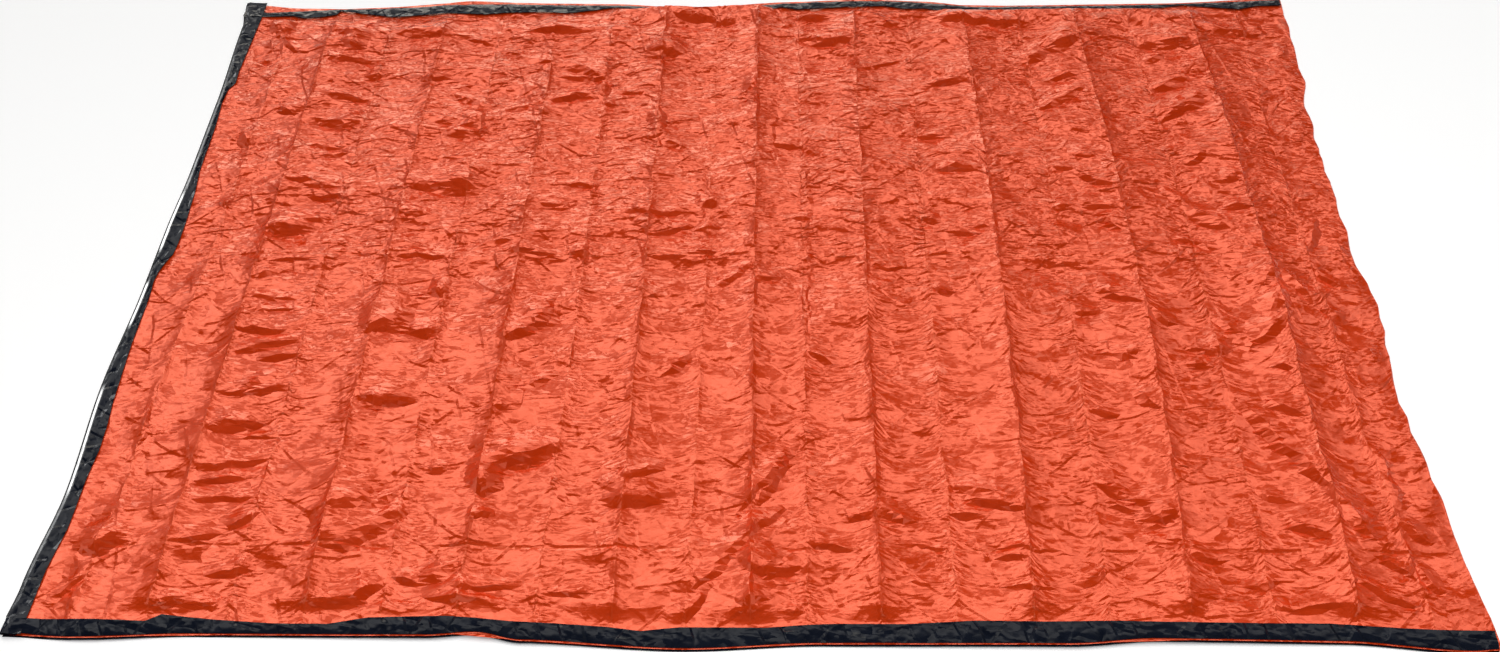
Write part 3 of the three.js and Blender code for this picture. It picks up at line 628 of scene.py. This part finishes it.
def remap(tree, value, interpolation="LINEAR", **limits):
    """A value carried from one range to another."""
    node = add_node(tree, "ShaderNodeMapRange", interpolation_type=interpolation)
    set_inputs(node, **limits)
    link(value, node.inputs["Value"])
    return node.outputs["Result"]


def mix_colours(tree, share, first, second):
    node = add_node(tree, "ShaderNodeMix", data_type="RGBA")
    node.inputs["A"].default_value = first
    node.inputs["B"].default_value = second
    link(share, node.inputs["Factor"])
    return node.outputs["Result"]


def chance_patches(tree, lay, scale, detail):
    """Cloudy chance values over the lay of a sheet."""
    node = set_inputs(add_node(tree, "ShaderNodeTexNoise"), Scale=scale, Detail=detail)
    link(lay, node.inputs["Vector"])
    return node.outputs["Fac"]


def read_mark(tree, name):
    return add_node(tree, "ShaderNodeAttribute", attribute_name=name).outputs["Fac"]


def open_group(name, sockets):
    """A new node group with its named sockets, and its nodes for what comes in and goes out."""
    group = bpy.data.node_groups.new(name, "ShaderNodeTree")
    for socket, way, kind in sockets:
        group.interface.new_socket(socket, in_out=way, socket_type=kind)
    return group, add_node(group, "NodeGroupInput"), add_node(group, "NodeGroupOutput")


FACET_DRIFT = (1.3, 1.3, 0.0)
TILT_SPAN = (1.4, 2.0, 0.0)
TILT_START = (-0.7, -1.0, 0.0)


def make_facet_group():
    """Flat facets with chance tilts, as in crumpled film."""
    group, start, end = open_group("sheet_facets", [
        ("Lay", "INPUT", "NodeSocketVector"), ("Along", "INPUT", "NodeSocketFloat"),
        ("Across", "INPUT", "NodeSocketFloat"), ("Tilt", "OUTPUT", "NodeSocketVector"),
    ])
    scale = add_node(group, "ShaderNodeCombineXYZ")
    link(start.outputs["Along"], scale.inputs["X"])
    link(start.outputs["Across"], scale.inputs["Y"])
    stretched = add_node(group, "ShaderNodeVectorMath", operation="MULTIPLY")
    link(start.outputs["Lay"], stretched.inputs[0])
    link(scale.outputs["Vector"], stretched.inputs[1])
    drift = add_node(group, "ShaderNodeTexNoise", noise_dimensions="2D")
    set_inputs(drift, Scale=0.8, Detail=2.0)
    link(stretched.outputs["Vector"], drift.inputs["Vector"])
    drifted = add_node(group, "ShaderNodeVectorMath", operation="MULTIPLY_ADD")
    drifted.inputs[1].default_value = FACET_DRIFT
    link(drift.outputs["Color"], drifted.inputs[0])
    link(stretched.outputs["Vector"], drifted.inputs[2])
    cells = add_node(group, "ShaderNodeTexVoronoi", voronoi_dimensions="2D")
    set_inputs(cells, Scale=1.0)
    link(drifted.outputs["Vector"], cells.inputs["Vector"])
    tilt = add_node(group, "ShaderNodeVectorMath", operation="MULTIPLY_ADD")
    tilt.inputs[1].default_value = TILT_SPAN
    tilt.inputs[2].default_value = TILT_START
    link(cells.outputs["Color"], tilt.inputs[0])
    link(tilt.outputs["Vector"], end.inputs["Tilt"])
    return group


facet_group = make_facet_group()


# Length in metres of one wave at a scale of one, patches to a pitch, and what the wrinkles turn about
WAVE_LENGTH = 0.314
PATCH_SHARE = 0.46
TURN_CENTRE = (3.0, 2.0, 0.0)


def make_crease_group():
    """Wrinkles about a pitch apart, steep on their near side, which wander and fade out in patches."""
    group, start, end = open_group("sheet_creases", [
        ("Lay", "INPUT", "NodeSocketVector"), ("Angle", "INPUT", "NodeSocketFloat"),
        ("Pitch", "INPUT", "NodeSocketFloat"), ("Steep", "INPUT", "NodeSocketFloat"),
        ("Height", "OUTPUT", "NodeSocketFloat"),
    ])
    turned = add_node(group, "ShaderNodeVectorRotate", rotation_type="Z_AXIS")
    turned.inputs["Center"].default_value = TURN_CENTRE
    link(start.outputs["Lay"], turned.inputs["Vector"])
    link(start.outputs["Angle"], turned.inputs["Angle"])
    waves = add_node(group, "ShaderNodeTexWave", bands_direction="Y", wave_profile="SAW")
    set_inputs(waves, Distortion=3.2, Detail=2.0, Detail_Scale=0.8)
    link(turned.outputs["Vector"], waves.inputs["Vector"])
    link(calculate(group, "DIVIDE", WAVE_LENGTH, start.outputs["Pitch"]), waves.inputs["Scale"])
    spread = set_inputs(add_node(group, "ShaderNodeTexNoise", noise_dimensions="2D"), Detail=1.0)
    link(turned.outputs["Vector"], spread.inputs["Vector"])
    link(calculate(group, "DIVIDE", PATCH_SHARE, start.outputs["Pitch"]), spread.inputs["Scale"])
    patch = remap(group, spread.outputs["Fac"], "SMOOTHSTEP", From_Min=0.46, From_Max=0.60)
    rise = calculate(group, "DIVIDE", waves.outputs["Fac"], start.outputs["Steep"])
    fall = calculate(group, "SUBTRACT", 1.0, waves.outputs["Fac"])
    fall = calculate(group, "DIVIDE", fall, calculate(group, "SUBTRACT", 1.0, start.outputs["Steep"]))
    wrinkle = calculate(group, "MINIMUM", rise, calculate(group, "POWER", fall, 2.0))
    link(calculate(group, "MULTIPLY", wrinkle, patch), end.inputs["Height"])
    return group


crease_group = make_crease_group()


def place_creases(tree, lay, sets):
    """Sum of sets of wrinkles: angle in degrees, pitch, share of it that is steep, height in metres."""
    total = 0.0
    for angle, pitch, steep, height in sets:
        node = add_node(tree, "ShaderNodeGroup", node_tree=crease_group)
        set_inputs(node, Angle=math.radians(angle), Pitch=pitch, Steep=steep)
        link(lay, node.inputs["Lay"])
        total = calculate(tree, "ADD", total, calculate(tree, "MULTIPLY", node.outputs["Height"], height))
    return total


def place_facets(tree, lay, along, across):
    """Tilt of facets, so many to the metre along and across the sheet."""
    node = add_node(tree, "ShaderNodeGroup", node_tree=facet_group)
    set_inputs(node, Along=along, Across=across)
    link(lay, node.inputs["Lay"])
    return node.outputs["Tilt"]


def add_tilt(tree, normal, tilt, amount):
    """Leans a normal by a tilt; amount is a number or a socket."""
    leaned = add_node(tree, "ShaderNodeVectorMath", operation="MULTIPLY_ADD")
    link(tilt, leaned.inputs[0])
    link(normal, leaned.inputs[2])
    if isinstance(amount, bpy.types.NodeSocket):
        link(amount, leaned.inputs[1])
    else:
        leaned.inputs[1].default_value = (amount, amount, amount)
    return leaned.outputs["Vector"]


def wrinkle_normal(tree, normal, height):
    """A leaned normal with wrinkles of a height in metres added to it."""
    leaned = add_node(tree, "ShaderNodeVectorMath", operation="NORMALIZE")
    link(normal, leaned.inputs[0])
    bump = set_inputs(add_node(tree, "ShaderNodeBump"), Strength=1.0, Distance=1.0)
    link(height, bump.inputs["Height"])
    link(leaned.outputs["Vector"], bump.inputs["Normal"])
    return bump.outputs["Normal"]


FILM_COLOUR = (0.78, 0.052, 0.006, 1.0)
FILM_WORN = (0.80, 0.085, 0.020, 1.0)
FILM_CALM = 0.75
WIDE_LEAN = 0.11
MIDDLE_LEAN = 0.14
FINE_LEAN = 0.115
WIDE_FACETS = (14.0, 24.0)
MIDDLE_FACETS = (42.0, 54.0)
FINE_FACETS = (100.0, 120.0)

# Wrinkles that run with the ripples, then those that run every way, each as place_creases reads them
RIPPLES = [
    (6, 0.021, 0.24, 0.0027), (-16, 0.015, 0.28, 0.0020), (20, 0.028, 0.16, 0.0027),
    (-2, 0.010, 0.34, 0.0013),
]
CRUMPLES = [
    (36, 0.050, 0.10, 0.0021), (-40, 0.046, 0.10, 0.0020), (74, 0.060, 0.08, 0.0018),
    (-10, 0.038, 0.12, 0.0020),
]
film_finish = bpy.data.materials.new("orange_film")
film_finish.use_nodes = True
tree = film_finish.node_tree
shader = tree.nodes["Principled BSDF"]
set_inputs(shader, Metallic=0.24, IOR=1.80, Specular_Tint=(1.0, 0.90, 0.66, 1.0))
lay = add_node(tree, "ShaderNodeUVMap", uv_map="lay").outputs["UV"]
slack = calculate(tree, "SUBTRACT", 1.0, calculate(tree, "MULTIPLY", read_mark(tree, "tight"), FILM_CALM))
restless = remap(tree, chance_patches(tree, lay, 11.0, 2.0), From_Min=0.35, From_Max=0.60, To_Min=0.40)
loose_share = calculate(tree, "MULTIPLY", restless, slack)
rippled = calculate(tree, "MULTIPLY", read_mark(tree, "ripple"), loose_share)

middle_lean = calculate(tree, "MULTIPLY", loose_share, MIDDLE_LEAN)
fine_lean = calculate(tree, "MULTIPLY", slack, FINE_LEAN)
normal = add_node(tree, "ShaderNodeNewGeometry").outputs["Normal"]
normal = add_tilt(tree, normal, place_facets(tree, lay, *WIDE_FACETS), WIDE_LEAN)
normal = add_tilt(tree, normal, place_facets(tree, lay, *MIDDLE_FACETS), middle_lean)
normal = add_tilt(tree, normal, place_facets(tree, lay, *FINE_FACETS), fine_lean)
wrinkles = calculate(tree, "MULTIPLY", place_creases(tree, lay, RIPPLES), rippled)
crumpled = calculate(tree, "MULTIPLY", place_creases(tree, lay, CRUMPLES), loose_share)
wrinkles = calculate(tree, "ADD", wrinkles, crumpled)
link(wrinkle_normal(tree, normal, wrinkles), shader.inputs["Normal"])

worn_line = remap(tree, read_mark(tree, "crease"), From_Min=0.45, From_Max=0.95)
worn_line = calculate(tree, "MULTIPLY", worn_line, restless)
mottle = chance_patches(tree, lay, 9.0, 4.0)
wear = calculate(tree, "MULTIPLY", worn_line, mottle)
link(mix_colours(tree, wear, FILM_COLOUR, FILM_WORN), shader.inputs["Base Color"])
link(remap(tree, mottle, To_Min=0.11, To_Max=0.18), shader.inputs["Roughness"])

film.data.materials.append(film_finish)
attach(film, "root")
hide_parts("film")


# Side seam tapes
# Glossy black tape stuck over each welded side seam: one strip on top that leaves a thin line of film bare
# at the edge, its inner edge standing up a little, and one strip beneath that reaches just past the film.
# They wrinkle where the film puckers. Each row of a table is x, inner edge, outer edge.
NEAR_TAPE = [
    (-1066, -732, -752), (-1040, -732, -752), (-950, -733, -752), (-865, -735, -751), (-845, -723, -750),
    (-765, -731, -750), (-680, -737, -750), (-600, -738, -750), (-540, -727, -750), (-430, -724, -748),
    (-385, -727, -746), (-335, -732, -753), (-265, -735, -757), (-195, -739, -761), (-145, -745, -763),
    (-90, -738, -763), (35, -738, -760), (90, -733, -758), (135, -731, -756), (235, -731, -755),
    (335, -725, -752), (435, -726, -756), (535, -724, -751), (590, -725, -746), (735, -726, -749),
    (835, -725, -746), (935, -731, -753), (985, -733, -757), (1065, -734, -756),
]
FAR_TAPE = [
    (-1066, 718, 738), (-1020, 718, 737), (-965, 721, 740), (-940, 713, 741), (-900, 718, 744),
    (-875, 724, 746), (-868, 736, 746), (-835, 731, 747), (-795, 723, 748), (-755, 715, 750),
    (-705, 718, 750), (-645, 724, 756), (-565, 719, 757), (-520, 725, 757), (-445, 728, 756),
    (-395, 724, 755), (-345, 734, 755), (-295, 745, 756), (-235, 728, 752), (-150, 722, 744),
    (10, 730, 754), (45, 743, 758), (75, 733, 759), (165, 739, 763), (255, 743, 764), (300, 734, 762),
    (335, 737, 760), (375, 728, 756), (445, 724, 747), (600, 726, 748), (775, 728, 750), (865, 744, 752),
    (900, 738, 754), (975, 729, 758), (1015, 740, 761), (1065, 741, 764),
]
TAPE_STATIONS = 760
TAPE_ACROSS = np.linspace(0.0, 1.0, 9)
TAPE_TOP_LIE = 5.4
TAPE_UNDER_LIE = 0.5
NEAR_BARE = 1.7
TAPE_CURL = 1.4
TAPE_LEAN = 1.8
UNDER_TAPE_PAST = 2.5
UNDER_TAPE_WIDTH = 28.0
UNDER_TAPE_LOWEST = 0.2
TAPE_PUCKER = 1.6
WIDE_PUCKER = 1.3
FINE_PUCKER = 0.8
EDGE_PUCKER_SHARE = 0.3
UNDER_PUCKER = 0.3
FOOT_BARE = 3.0
UNDER_LAY_SHIFT = 60.0
TAPE_BLACK = (0.002, 0.003, 0.007, 1.0)
TAPE_SCUFFED = (0.010, 0.013, 0.023, 1.0)
TAPE_FACETS = (60.0, 120.0)
TAPE_FACET_LEAN = 0.18
TAPE_CREASES = [(72, 0.030, 0.12, 0.0024), (-58, 0.042, 0.10, 0.0024), (12, 0.020, 0.3, 0.0016)]

tape_finish = bpy.data.materials.new("black_tape")
tape_finish.use_nodes = True
tree = tape_finish.node_tree
shader = tree.nodes["Principled BSDF"]
set_inputs(shader, Specular_IOR_Level=0.16, Coat_IOR=3.0, Coat_Roughness=0.14)
lay = add_node(tree, "ShaderNodeUVMap", uv_map="lay").outputs["UV"]
normal = add_node(tree, "ShaderNodeNewGeometry").outputs["Normal"]
normal = add_tilt(tree, normal, place_facets(tree, lay, *TAPE_FACETS), TAPE_FACET_LEAN)
wrinkles = place_creases(tree, lay, TAPE_CREASES)
link(wrinkle_normal(tree, normal, wrinkles), shader.inputs["Normal"])
link(read_mark(tree, "stretched"), shader.inputs["Coat Weight"])
mottle = chance_patches(tree, lay, 40.0, 3.0)
link(mix_colours(tree, mottle, TAPE_BLACK, TAPE_SCUFFED), shader.inputs["Base Color"])
link(remap(tree, mottle, To_Min=0.12, To_Max=0.24), shader.inputs["Roughness"])


def finish_tape(piece, node):
    piece.data.materials.append(tape_finish)
    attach(piece, "root")
    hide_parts(node)


def table_column(table, which, at):
    return np.interp(at, [row[0] for row in table], [row[which] for row in table])


stations = np.linspace(-HALF_LENGTH, HALF_LENGTH - FOOT_BARE, TAPE_STATIONS)
for side, table, lifts in [("near", NEAR_TAPE, NEAR_LIFT), ("far", FAR_TAPE, FAR_LIFT)]:
    inwards = 1.0 if side == "near" else -1.0
    edge_v = np.full(TAPE_STATIONS, -inwards * HALF_DEPTH)
    edge = put_in_place(stations, edge_v, np.zeros(TAPE_STATIONS))
    lift = read_table(lifts, stations)
    inner = table_column(table, 1, stations)
    outer = table_column(table, 2, stations)
    if side == "near":
        outer = edge[:, 1] + NEAR_BARE
    x = np.repeat(edge[:, 0][:, None], len(TAPE_ACROSS), axis=1)
    y = blend(outer[:, None], inner[:, None], TAPE_ACROSS[None, :])
    middle = np.clip(4.0 * TAPE_ACROSS * (1.0 - TAPE_ACROSS), 0.0, 1.0)[None, :]
    free = middle * (1.0 - EDGE_PUCKER_SHARE) + EDGE_PUCKER_SHARE
    pucker = WIDE_PUCKER * facets(x / 26.0, y / 13.0, 21)
    pucker += FINE_PUCKER * facets(x / 11.0 + y / 15.0, y / 9.0, 22)
    to_mouth = 1.0 - smooth_step((stations + HALF_LENGTH - MOUTH_BAND) / MOUTH_RAMP)
    rise = lift + (MOUTH_LIE - SEAM_LIE) * to_mouth
    z = TAPE_TOP_LIE + rise[:, None] + np.abs(pucker) * free * TAPE_PUCKER
    z = z - TAPE_CURL * (1.0 - TAPE_ACROSS[None, :]) ** 5 + TAPE_LEAN * TAPE_ACROSS[None, :]
    tape_lay = np.stack([x, y], axis=-1)
    top = sheet_object(f"seam_tape_{side}_top", np.stack([x, y, z], axis=-1), tape_lay)
    finish_tape(top, f"tape_{side}_top")
    past = edge[:, 1] - inwards * UNDER_TAPE_PAST
    y = past[:, None] + inwards * UNDER_TAPE_WIDTH * TAPE_ACROSS[None, :]
    pucker = UNDER_PUCKER * facets(x / 18.0, y / 14.0, 23)
    z = np.maximum(TAPE_UNDER_LIE + lift[:, None] + pucker, UNDER_TAPE_LOWEST)
    tape_lay = np.stack([x, y + UNDER_LAY_SHIFT], axis=-1)
    beneath = sheet_object(f"seam_tape_{side}_under", np.stack([x, y, z], axis=-1), tape_lay)
    finish_tape(beneath, f"tape_{side}_under")


# Mouth bindings
# The edge of each layer at the mouth is bound in the same black tape, folded over it so that its outer edge
# is a soft round. The upper binding shows its top, the under one only a thin line outside it.
# Each row of the table is y and the inner edge of the upper binding.
MOUTH_TAPE = [
    (-760, -1041), (-727, -1041), (-647, -1039), (-612, -1035), (-572, -1030), (-472, -1030), (-422, -1027),
    (-372, -1029), (-322, -1034), (-280, -1036), (-190, -1040), (-90, -1040), (-45, -1043), (-25, -1041),
    (5, -1033), (20, -1027), (60, -1025), (110, -1026), (185, -1030), (240, -1036), (365, -1038),
    (440, -1043), (480, -1041), (500, -1031), (540, -1033), (640, -1030), (715, -1028), (760, -1028),
]
BINDING_STATIONS = 560
BINDING_REACH = {"top": (-757.5, 765.0), "under": (-725.7, 725.7)}
WIDE_BINDING_PUCKER = 0.9
FINE_BINDING_PUCKER = 0.6
ROUND_TURN = np.linspace(0.0, math.pi, 9)
INNER_LEG = 22.0
OUTER_BEAD = 2.0
OUTER_SLOPE = 0.36
OUTER_BAND = 6.0
LEG_POINTS = 8
BEAD_POINT = 5
SHINING_POINTS = slice(6, 9)
EDGE_PUCKER = 0.2
LAY_STEP = 4.0

# Height of each binding's upper and under leg, and how far its round stands out past the film's edge
BINDING_LIE = {"top": (7.8, 4.5, 3.0), "under": (3.3, 0.5, 7.5)}

# Where the outer edge of the upper binding is stretched smooth and shines: y, share
STRETCHED = [(-760, 0), (-520, 0.2), (-490, 1), (-310, 1), (-280, 0), (-160, 0), (-140, 1), (-60, 1),
             (-45, 0), (20, 0), (45, 1), (160, 1), (190, 0.2), (760, 0)]

legs = np.linspace(0.0, 1.0, LEG_POINTS)
to_bead = legs / legs[BEAD_POINT]
past_bead = np.clip((legs - legs[BEAD_POINT]) / (1.0 - legs[BEAD_POINT]), 0.0, 1.0)
for layer, (top_lie, under_lie, standoff) in BINDING_LIE.items():
    stations = np.linspace(*BINDING_REACH[layer], BINDING_STATIONS)
    edge = put_in_place(np.full(BINDING_STATIONS, -HALF_LENGTH), stations, np.zeros(BINDING_STATIONS))[:, 0]
    bead = OUTER_BEAD if layer == "top" else 0.0
    band = OUTER_BAND if layer == "top" else 0.0
    drop = OUTER_SLOPE * band
    radius = 0.5 * (top_lie + bead - drop - under_lie)
    outer = edge - standoff + radius
    inner = table_column(MOUTH_TAPE, 1, stations)
    if layer == "under":
        inner = edge + INNER_LEG
    top_x = blend(inner[:, None], outer[:, None] + band, np.minimum(to_bead, 1.0)[None, :])
    top_x = top_x - band * past_bead[None, :]
    round_x = outer[:, None] - radius * np.sin(ROUND_TURN)[None, 1:-1]
    under_x = blend(outer[:, None], edge[:, None] + INNER_LEG, legs[None, :])
    x = np.hstack([top_x, round_x, under_x])
    round_z = under_lie + radius + radius * np.cos(ROUND_TURN)[1:-1]
    top_z = top_lie + bead * np.clip(2.0 * to_bead - 1.0, 0.0, 1.0) ** 2
    top_z = top_z - drop * past_bead
    profile = np.concatenate([top_z, round_z, np.full(LEG_POINTS, under_lie)])
    y = np.repeat(stations[:, None], x.shape[1], axis=1)
    pucker = WIDE_BINDING_PUCKER * facets(y / 24.0, x / 12.0, 31)
    pucker += FINE_BINDING_PUCKER * facets(y / 10.0, x / 8.0, 32)
    pucker[:, BEAD_POINT:] *= EDGE_PUCKER
    smooth_edge = np.zeros(x.shape)
    smooth_edge[:, SHINING_POINTS] = read_table(STRETCHED, stations)[:, None] if layer == "top" else 0.0
    z = profile[None, :] + np.abs(pucker)
    binding_lay = np.stack([y, np.cumsum(np.full(x.shape, LAY_STEP), axis=1)], axis=-1)
    binding = sheet_object(f"mouth_binding_{layer}", np.stack([x, y, z], axis=-1), binding_lay,
                           stretched=smooth_edge)
    finish_tape(binding, f"tape_mouth_{layer}")


# Studio
# A plain pale floor that glows a little, in a room that the bag mirrors: bright towards the far side and
# dark at the two ends. A large soft lamp above the near side lights the bag and isn't mirrored. A small one
# at the left shows only as a shine on the tape of the mouth.
FLOOR_HALF = 14.0


def make_floor():
    mesh = bpy.data.meshes.new("floor")
    half = FLOOR_HALF
    corners = [(-half, -half, 0.0), (half, -half, 0.0), (half, half, 0.0), (-half, half, 0.0)]
    mesh.from_pydata(corners, [], [(0, 1, 2, 3)])
    plane = bpy.data.objects.new("floor", mesh)
    bpy.context.scene.collection.objects.link(plane)
    return plane


floor = make_floor()
floor_finish = bpy.data.materials.new("pale_floor")
floor_finish.use_nodes = True
floor_shader = floor_finish.node_tree.nodes["Principled BSDF"]
set_inputs(floor_shader, Base_Color=(0.95, 0.95, 0.96, 1.0), Roughness=0.9)
set_inputs(floor_shader, Emission_Color=(1.0, 1.0, 1.0, 1.0), Emission_Strength=0.20)
floor.data.materials.append(floor_finish)

# Parts of the room's light: how far to the far side each starts and is full, and how bright it is then
FAR_GLOW = (0.83, 0.95, 1.0)
NEAR_RISE = (0.06, 0.52, 2.54)
FAR_FALL = (0.54, 0.84, 2.27)
FAR_RIGHT_FALL = (0.60, 0.80, 0.95)
NO_LOW_LIGHT = (0.1, 0.4, 1.0)
FAR_GLOW_LIGHT = 2.3
DARKEST = 0.02
GLOW_COLOURS = (1.0, 0.99, 0.96, 1.0), (1.0, 0.95, 0.84, 1.0)

world = bpy.data.worlds.new("soft_room")
bpy.context.scene.world = world
world.use_nodes = True
tree = world.node_tree
background = tree.nodes["Background"]
facing = add_node(tree, "ShaderNodeSeparateXYZ")
link(add_node(tree, "ShaderNodeTexCoord").outputs["Generated"], facing.inputs["Vector"])


def room_band(lowest, highest, light):
    """Light that grows from nothing to its full value towards the far side of the room."""
    return remap(tree, facing.outputs["Y"], "SMOOTHSTEP", From_Min=lowest, From_Max=highest, To_Max=light)


far_glow = room_band(*FAR_GLOW)
link(mix_colours(tree, far_glow, *GLOW_COLOURS), background.inputs["Color"])
room_light = calculate(tree, "SUBTRACT", room_band(*NEAR_RISE), room_band(*FAR_FALL))
room_light = calculate(tree, "ADD", room_light, calculate(tree, "MULTIPLY", far_glow, FAR_GLOW_LIGHT))
room_light = calculate(tree, "ADD", room_light, DARKEST)

# How bright the room is from its left end to its right one, as half the share
ROOM_ACROSS = [(0.14, 0.08), (0.23, 0.44), (0.30, 0.53), (0.42, 0.51), (0.55, 0.44), (0.70, 0.36),
               (0.78, 0.26), (0.86, 0.08)]
ROOM_ENDS = 0.06
sideways = add_node(tree, "ShaderNodeFloatCurve")
curve = sideways.mapping.curves[0]
curve.points[0].location = (0.0, ROOM_ENDS)
curve.points[1].location = (1.0, ROOM_ENDS)
for place, share in ROOM_ACROSS:
    curve.points.new(place, share)
sideways.mapping.update()
from_left_end = remap(tree, facing.outputs["X"], From_Min=-1.0)
link(from_left_end, sideways.inputs["Value"])
side_share = calculate(tree, "MULTIPLY", sideways.outputs["Value"], 2.0)
room_light = calculate(tree, "MULTIPLY", room_light, side_share)
right_part = remap(tree, facing.outputs["X"], "SMOOTHSTEP", From_Min=-0.25, From_Max=0.55)
far_right = calculate(tree, "MULTIPLY", right_part, room_band(*FAR_RIGHT_FALL))
room_light = calculate(tree, "MULTIPLY", room_light, calculate(tree, "SUBTRACT", 1.0, far_right))

# Low light that only shows as a mirror image from the other sides, and a plain backdrop for the camera
low_glow = remap(tree, facing.outputs["Z"], "SMOOTHSTEP", From_Min=0.62, From_Max=0.40, To_Max=0.8)
not_far = calculate(tree, "SUBTRACT", 1.0, room_band(*NO_LOW_LIGHT))
low_light = calculate(tree, "MULTIPLY", low_glow, not_far)
ray = add_node(tree, "ShaderNodeLightPath")
low_light = calculate(tree, "MULTIPLY", low_light, ray.outputs["Is Glossy Ray"])
room_light = calculate(tree, "MAXIMUM", room_light, low_light)
link(room_light, background.inputs["Strength"])
backdrop = set_inputs(add_node(tree, "ShaderNodeBackground"), Color=(0.92, 0.92, 0.93, 1.0), Strength=1.0)
seen = add_node(tree, "ShaderNodeMixShader")
link(ray.outputs["Is Camera Ray"], seen.inputs["Fac"])
link(background.outputs["Background"], seen.inputs[1])
link(backdrop.outputs["Background"], seen.inputs[2])
link(seen.outputs["Shader"], tree.nodes["World Output"].inputs["Surface"])


def soft_lamp(name, place, aim, size, watts, only_mirrored):
    """A large soft lamp that either lights the bag or only shows as a mirror image on it."""
    data = bpy.data.lights.new(name, "AREA")
    data.shape = "RECTANGLE"
    data.size, data.size_y = size
    data.energy = watts
    lamp = bpy.data.objects.new(name, data)
    bpy.context.scene.collection.objects.link(lamp)
    lamp.location = place
    lamp.rotation_euler = (Vector(aim) - Vector(place)).to_track_quat("-Z", "Y").to_euler()
    lamp.visible_glossy = only_mirrored
    lamp.visible_diffuse = not only_mirrored
    return lamp


soft_lamp("front_lamp", (0.3, -1.5, 4.2), (0.0, 0.0, 0.0), (4.0, 4.0), 126.0, False)
left_lamp = soft_lamp("left_lamp", (-3.3, 1.2, 0.8), (-1.0, 0.0, 0.0), (3.0, 0.9), 40.0, True)
mirrored_in = bpy.data.collections.new("upper_mouth_binding")
mirrored_in.objects.link(bpy.data.objects["mouth_binding_top"])
left_lamp.light_linking.receiver_collection = mirrored_in


# Camera
# Stands in front of the near seam, looking down on the bag from a little right of its middle. Its place and
# lens were fitted to the corners of the bag.
CAMERA_PLACE = (0.07675, -1.97606, 1.98371)
CAMERA_YAW = 2.4387
CAMERA_PITCH = 42.7684
CAMERA_ROLL = -1.6696
CAMERA_LENS = 38.426
SENSOR_WIDTH = 36.0
camera_data = bpy.data.cameras.new("camera")
camera_data.sensor_width = SENSOR_WIDTH
camera_data.lens = CAMERA_LENS
camera = bpy.data.objects.new("camera", camera_data)
bpy.context.scene.collection.objects.link(camera)
turn = (Matrix.Rotation(math.radians(CAMERA_YAW), 4, "Z")
        @ Matrix.Rotation(math.radians(CAMERA_PITCH), 4, "X")
        @ Matrix.Rotation(math.radians(CAMERA_ROLL), 4, "Z"))
place = np.array(CAMERA_PLACE) + CENTRING * MM
camera.matrix_world = Matrix.Translation(place.tolist()) @ turn
bpy.context.scene.camera = camera
bpy.context.scene.view_settings.view_transform = "Standard"
bpy.context.scene.view_settings.look = "None"
